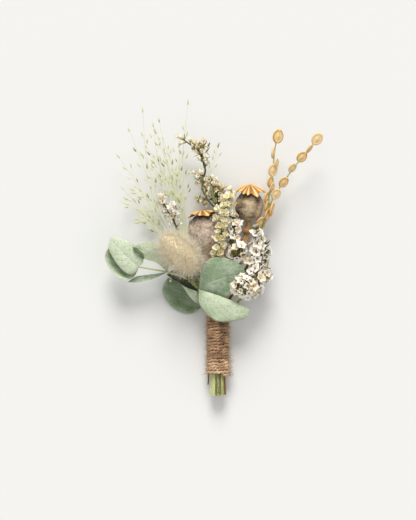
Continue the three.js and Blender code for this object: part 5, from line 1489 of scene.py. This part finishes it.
for name in ("middle", "right", "low"):
    upper.along(paths[name], 0.3, 1.0, 7, 0.45, 0.9)
upper.along(paths["far_left"], 0.25, 1.0, 7, 0.4, 0.5, sizes=(0.75, 0.95))
TWIG_BRACTS, COMB_BRACTS, EDGE_BRACTS, FILLING_BRACTS = 22, 24, 7, 20
# Two bare twigs flank the poppy's stalk; their bracts lean away from it
for knots, side in (([(10.6, 25, 11.6), (10.6, 33, 10.4), (10.2, 40, 9.8), (10.8, 45.6, 9.6)], -1),
                    ([(14.6, 24, 11.4), (18, 31, 11), (18.4, 38, 10.2), (18, 44, 9.8)], 1)):
    path = upper.twig(knots, 0.4, 0.25, 0.9)
    for i in range(TWIG_BRACTS):
        way = (side * (0.3 + 0.5 * math.sin(5 * i) ** 2), 0.8 * math.cos(5 * i), 0.3)
        upper.bract(path[4 + 2 * i], way, 3.2, 0.5, (0.1, 0.45, 0.75, 0.95)[i % 4])
# Combs of brown and olive bracts stand up between the flowers
for i in range(COMB_BRACTS):
    swing = math.radians(15 + 6.6 * i)
    way = (math.cos(swing), math.sin(swing), 0.35 + 0.35 * math.sin(2.4 * i))
    place = (9.9 + 1.2 * way[0], 28.6 + 0.8 * way[1], 15.8 + 0.3 * (i % 3))
    upper.bract(place, way, 3.2 + 1.6 * (i * 7 % 5) / 4, 0.36, (0.2, 0.95, 0.45, 0.8)[i % 4])
for i in range(EDGE_BRACTS):
    way = (1, 0.5 * math.sin(3 * i), 0.5)
    upper.bract((21.6 + 0.4 * i, 29.6 - 1.5 * i, 14), way, 3.4, 0.42, (0.3, 0.6, 0.95)[i % 3])
# Brown and green bracts fill the dark gaps between the flowers
upper.fringe((0.3, 0.55, 0.7, 0.95), 4)
for path in paths.values():
    for i in range(FILLING_BRACTS):
        swing = (math.sin(5 * i), math.cos(5 * i), 0.9)
        upper.bract(path[8 + 2 * i], swing, 3.6, 0.42, (0.1, 0.45, 0.75, 0.95)[i % 4])
upper.finish("statice_white_upper", white_cups, WHITE_PAPER, "white_flower", "statice_white_upper")

# %% The lower white head
lower = Sprig(61, radius=1.9, stalk=0.6, depth=3.0)
KNOT = np.array([14, 14.8, 16])
KNOT_BRACTS = 12
lower.stems.add(*outer(8, [(4.8, 2.6, 8.7), (9.8, 6, 10.3), (13, 10, 12.8), KNOT], 0.3),
                0.6, 0.12, capped=True)
lower.twigs.append(np.array([KNOT, KNOT + (0, 0, 0.5)]))
lower.show([
    (7.8, 14.8, 19, -0.7, 0.1, 0.7, 1.15), (10.7, 17.5, 19.6, -0.3, 0.6, 0.8, 1.1),
    (14, 18.4, 19.6, 0, 0.7, 0.7, 1.05), (17, 17.2, 19.8, 0.4, 0.5, 0.8, 1.05),
    (18, 14.4, 20, 0.5, 0.1, 0.9, 1.1), (19.4, 11.4, 18.8, 0.7, -0.3, 0.7, 1.1),
    (15.7, 9.8, 19.2, 0.2, -0.6, 0.8, 1.15), (11.8, 8.8, 18.6, -0.2, -0.8, 0.6, 1.15),
    (8.2, 10.8, 19, -0.6, -0.5, 0.7, 1.15), (6.4, 12.6, 17.2, -0.9, -0.2, 0.5, 1),
    (21.2, 18.6, 18.6, 0.5, 0.2, 0.9, 1.2), (22, 15, 17.4, 0.9, 0, 0.5, 1),
    (22.2, 11.8, 16.4, 0.9, -0.2, 0.4, 0.95), (18.8, 8.6, 17, 0.5, -0.8, 0.4, 1),
    (14.6, 7.4, 17, 0, -1, 0.4, 1), (16.4, 20.4, 17.6, 0.2, 1, 0.4, 1),
    (12.2, 20, 17.4, -0.3, 1, 0.4, 1), (14.9, 13.6, 20.6, 0.2, 0, 1, 0.85),
    (12.2, 15.6, 20, -0.3, 0.3, 1, 0.8), (16.4, 11.8, 20.2, 0.3, -0.3, 1, 0.8),
    (10.8, 11.6, 19.8, -0.4, -0.2, 1, 0.8),
], reach=0.6, scale=0.9)
for i in range(KNOT_BRACTS):
    lean = (0.5 * math.sin(2.4 * i) - 0.15, 0.5 * math.cos(2.4 * i) + 0.2, 1)
    lower.bract(KNOT + (-2.2 + 0.35 * i, 0.4 - 0.15 * i, 2), lean, 3.6, 0.36,
                (0.35, 0.6, 0.95)[i % 3])
lower.fringe((0.35, 0.6, 0.95), 4)
lower.finish("statice_white_lower", white_cups, WHITE_PAPER, "white_flower", "statice_white_lower")

# %% [markdown]
# The yellow spike is crowded with little five-pointed stars that have gone pale yellow green.

# %% The yellow spike
spike = Sprig(71, radius=1.75, stalk=0.6, depth=1.5)
SPIKE_ROUTE = [(0.5, 8, 7.3), (0.9, 18, 8.6), (1, 27, 11), (1, 36, 12.8), (2.2, 46, 13.4),
               (4.4, 55.6, 13), (6.8, 61, 12.6)]
spike.stems.add(*inner(0, SPIKE_ROUTE, 0.7), 0.35, 0.3, capped=True)
path = smooth(SPIKE_ROUTE[2:], 90)
spike.twigs.append(path)
spike.show([
    (0.5, 26.4, 14.5, 0, -0.3, 1, 1), (-1.8, 30.4, 14.8, -0.6, 0, 1, 1),
    (1.4, 30.2, 15.6, 0.3, 0, 1, 1.05), (-0.4, 33.3, 16, -0.4, 0.2, 1, 1),
    (2.4, 34, 15.6, 0.6, 0.1, 1, 1), (-0.4, 37.8, 16.2, -0.4, 0, 1, 1.1),
    (2.4, 37.4, 16.2, 0.5, 0.1, 1, 1), (3.2, 40.2, 16.6, 0.6, 0.2, 1, 1),
    (-0.4, 41.2, 16.4, -0.5, 0.2, 1, 0.95), (0.2, 44.2, 16.8, -0.3, 0.1, 1, 1.05),
    (3.2, 43.8, 17, 0.4, 0.1, 1, 1.05), (2.6, 47.2, 17, 0, 0.3, 1, 1),
    (-0.4, 47.4, 16, -0.7, 0.2, 1, 1), (5.4, 46.6, 16, 0.8, 0, 1, 1),
    (1.4, 50.2, 16.6, -0.4, 0.3, 1, 1.05), (4.4, 50.4, 17, 0.2, 0.2, 1, 1.05),
    (0.4, 53.2, 15.8, -0.8, 0.3, 0.9, 1), (6.9, 50.8, 15.6, 0.9, 0, 0.8, 1),
    (2.8, 54.6, 16.4, -0.3, 0.4, 1, 1.05), (5.4, 54, 16.4, 0.3, 0.2, 1, 1),
    (4.4, 57.4, 16, 0, 0.5, 1, 1.05), (7.4, 55, 15.2, 0.8, 0.2, 0.8, 0.95),
    (1.8, 57.8, 15, -0.7, 0.6, 0.8, 0.95), (6.4, 58.8, 15.2, 0.3, 0.7, 0.9, 1),
], jitter=0.75)
spike.along(path, 0.02, 1.0, 26, 0.5, 0.1, sizes=(0.8, 1.0))
spike.finish("yellow_spike", star_cups, YELLOW_PAPER, "yellow_flower", "yellow_spike")
for shape in (*white_cups, *bud_cups, *star_cups):
    put_away(shape)

# %% [markdown]
# The golden pods are flat and rounded, strung along a thin twig like beads. Each has a raised
# rim and a seed that bulges in the middle. Some face the eye, some stand on edge.

# %% The pod's material
POD, tree, surface = new_material("golden_seed_pod", 0.45)
zone, tint = (add(tree, "ShaderNodeAttribute", {"attribute_name": field}).outputs["Fac"]
              for field in ("zone", "tint"))
place = add(tree, "ShaderNodeTexCoord").outputs["Object"]
vary = add(tree, "ShaderNodeTexNoise", links={"Vector": place, "Scale": 500.0, "Detail": 3.0})
shade = graded(tree, zone, vary, 0.25, 0.0,
               {0.12: "#837c3a", 0.27: "#e8cc94", 0.6: "#e5c284", 0.85: "#cf9d4c", 1.0: "#b98336"})
add(tree, "ShaderNodeMix", {"data_type": "RGBA"}, {0: tint, MIX_A: shade, MIX_B: colour("#ecd2a2")},
    to=surface.inputs["Base Color"])
add(tree, "ShaderNodeBump", links={"Strength": 0.3, "Distance": 0.0001, "Height": vary},
    to=surface.inputs["Normal"])

# %% Pods on their twigs
POD_TWIGS = [
    ([(24.6, 52, 9.6), (25.4, 58, 11), (26.6, 66, 13), (27.4, 74, 14.4), (28.2, 82, 15.4),
      (29.9, 91.6, 16)],
     [((24.2, 58, 11.4), 4.9, 1.08, 0.1), ((26.9, 63, 12.2), 4.2, 1.1, 0.2),
      ((26, 65.8, 13.2), 4.8, 0.93, 0), ((27.2, 71.5, 14.2), 5.2, 0.45, 0.6),
      ((29.1, 75, 14.6), 4.1, 1.16, 0.5), ((27.4, 80.2, 15.2), 4.9, 1.35, 0.6),
      ((29.7, 88.2, 16.2), 5.8, 0.35, 0.1)]),
    ([(24.6, 52, 9.6), (28.4, 59.6, 11.6), (33, 66.4, 13.4), (38, 73.4, 15), (43.6, 79.8, 16.4),
      (48, 85.8, 17.4)],
     [((28.8, 59.8, 12), 4.8, 0.3, 0.6), ((32.6, 65.6, 13.4), 4.8, 0.45, 0),
      ((36.9, 72.7, 15), 4.3, 0.7, 0.6), ((41.5, 78, 16), 4.9, 0.3, 0),
      ((45.3, 82, 17), 4, 1.25, 0), ((49, 86.8, 17.6), 5.4, 0.2, 0.7)]),
    ([(22, 42, 6), (23.6, 46.6, 8), (24.6, 52, 9.6)],
     [((21.2, 45.4, 7.8), 5.4, 0.75, 0.05), ((24.6, 49.4, 9), 5.4, 1.15, 0),
      ((26.8, 52.2, 9.6), 6, 1.38, 0), ((24.4, 53.6, 9.8), 5, 1.3, 0.1)]),
]


def pod_shape():
    """A flat oval pod one millimetre wide, its long way along +Y, its faces along Z."""
    rows, columns = 13, 20
    reach = np.linspace(0, 1, rows)[:, None]
    angle = ring(columns)
    rim = np.exp(-((reach - 0.86) / 0.11) ** 2)
    seed = np.exp(-(reach / 0.42) ** 2)
    half = (0.07 + 0.075 * rim + 0.09 * seed) * np.sqrt(np.maximum(0, 1 - reach**6))
    beak = 1 + 0.12 * np.maximum(0, np.sin(angle)) ** 6 * reach**3
    x = 0.5 * reach * np.cos(angle)
    y = 0.61 * reach * np.sin(angle) * beak
    midline = np.exp(-((x / 0.035) ** 2))
    zone = np.clip(0.25 + 0.75 * rim, 0, 1) * (1 - midline * 0.8)
    pile = Pile()
    for face in (1, -1):
        ridge = 0.03 * midline * np.minimum(1, 8 * (1 - reach))
        layer = np.stack([x, y, face * (half + ridge)], -1).reshape(-1, 3)
        pile.add(layer, grid_faces(rows, columns, around=True), zone=zone.ravel())
    return weld(pile.make("pod_shape", at=0))


pods = Copies()
stems = Stems()
stems.add(*outer(6, [(6.6, 9, 3.2), (13.4, 22, 3.2), (19.6, 35, 4.2), (22, 42, 6), (23.6, 46.6, 8)],
                 0.2), 0.5, 0.25, capped=True)
for knots, beads in POD_TWIGS:
    path = smooth(knots, 60)
    ways = headings(path)
    stems.add(path, 0.45, 0.3, 0.3)
    for centre, width, edge, pale in beads:
        way = ways[np.argmin(np.linalg.norm(path - centre, axis=1))]
        flat = unit(np.cross(np.cross(way, (0, 0, 1)), way))
        side = np.cross(way, flat)
        facing = flat * math.cos(edge) + side * math.sin(edge)
        pods.add(centre, facing, 0, width, pale, upright=way)
dress(stems.grow("seed_pod_twigs", DRY_STEM, sides=7), "seed_pod", "seed_pod_spray")
shape = pod_shape()
dress(pods.grow("seed_pods", shape, POD), "seed_pod")
put_away(shape)

# %% [markdown]
# The boutonniere lies on a plain pale table under soft light that comes from the top of the
# picture, so the shadows fall towards the handle. The camera looks straight down.

# %% The table
HALF_TABLE = 4
floor_mesh = bpy.data.meshes.new("table")
corners = [(x * HALF_TABLE, y * HALF_TABLE, 0) for x, y in ((-1, -1), (1, -1), (1, 1), (-1, 1))]
floor_mesh.from_pydata(corners, [], [(0, 1, 2, 3)])
floor = bpy.data.objects.new("table", floor_mesh)
bpy.context.scene.collection.objects.link(floor)
TABLE, tree, surface = new_material("matt_white_table", 0.9, **{"Base Color": colour("#e6e8ea")})
floor_mesh.materials.append(TABLE)
floor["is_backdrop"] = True

# %% The light
SKY_STRENGTH = 0.7
SUN_STRENGTH = 2.55
SUN_WIDTH = 28
SUN_ELEVATION = 37
SUN_LEFT_OF_TOP = 2
world = bpy.data.worlds.new("soft_room")
world.use_nodes = True
sky = world.node_tree.nodes["Background"]
sky.inputs["Color"].default_value = colour("#f9f6f1")
sky.inputs["Strength"].default_value = SKY_STRENGTH
bpy.context.scene.world = world

sun = bpy.data.lights.new("window", "SUN")
sun.energy = SUN_STRENGTH
sun.angle = math.radians(SUN_WIDTH)
sun.color = colour("#fffcf6")[:3]
lamp = bpy.data.objects.new("window", sun)
up, left = math.radians(SUN_ELEVATION), math.radians(SUN_LEFT_OF_TOP)
towards = Vector((-math.sin(left) * math.cos(up), math.cos(left) * math.cos(up), math.sin(up)))
lamp.rotation_mode = "QUATERNION"
lamp.rotation_quaternion = towards.to_track_quat("Z", "Y")
bpy.context.scene.collection.objects.link(lamp)
print("light from:", [round(v, 2) for v in towards])

# %% The camera
MM_PER_PIXEL = 0.5
PICTURE_HEIGHT = 520
LENS = 135
SENSOR = 36
PICTURE_MIDDLE = (-5, 27, 8)
camera = bpy.data.cameras.new("camera")
camera.lens, camera.sensor_width = LENS, SENSOR
eye = bpy.data.objects.new("camera", camera)
distance = PICTURE_HEIGHT * MM_PER_PIXEL * MM * LENS / SENSOR
middle = to_row(PICTURE_MIDDLE)
eye.location = (middle[0], middle[1], middle[2] + distance)
bpy.context.scene.collection.objects.link(eye)
bpy.context.scene.camera = eye
bpy.context.scene.view_settings.view_transform = "Standard"
print("camera height in m:", round(eye.location.z, 3))

# %% Sizes and finish
low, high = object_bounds()
print("dressed box in mm:", [round(1000 * v, 1) for v in high - low])
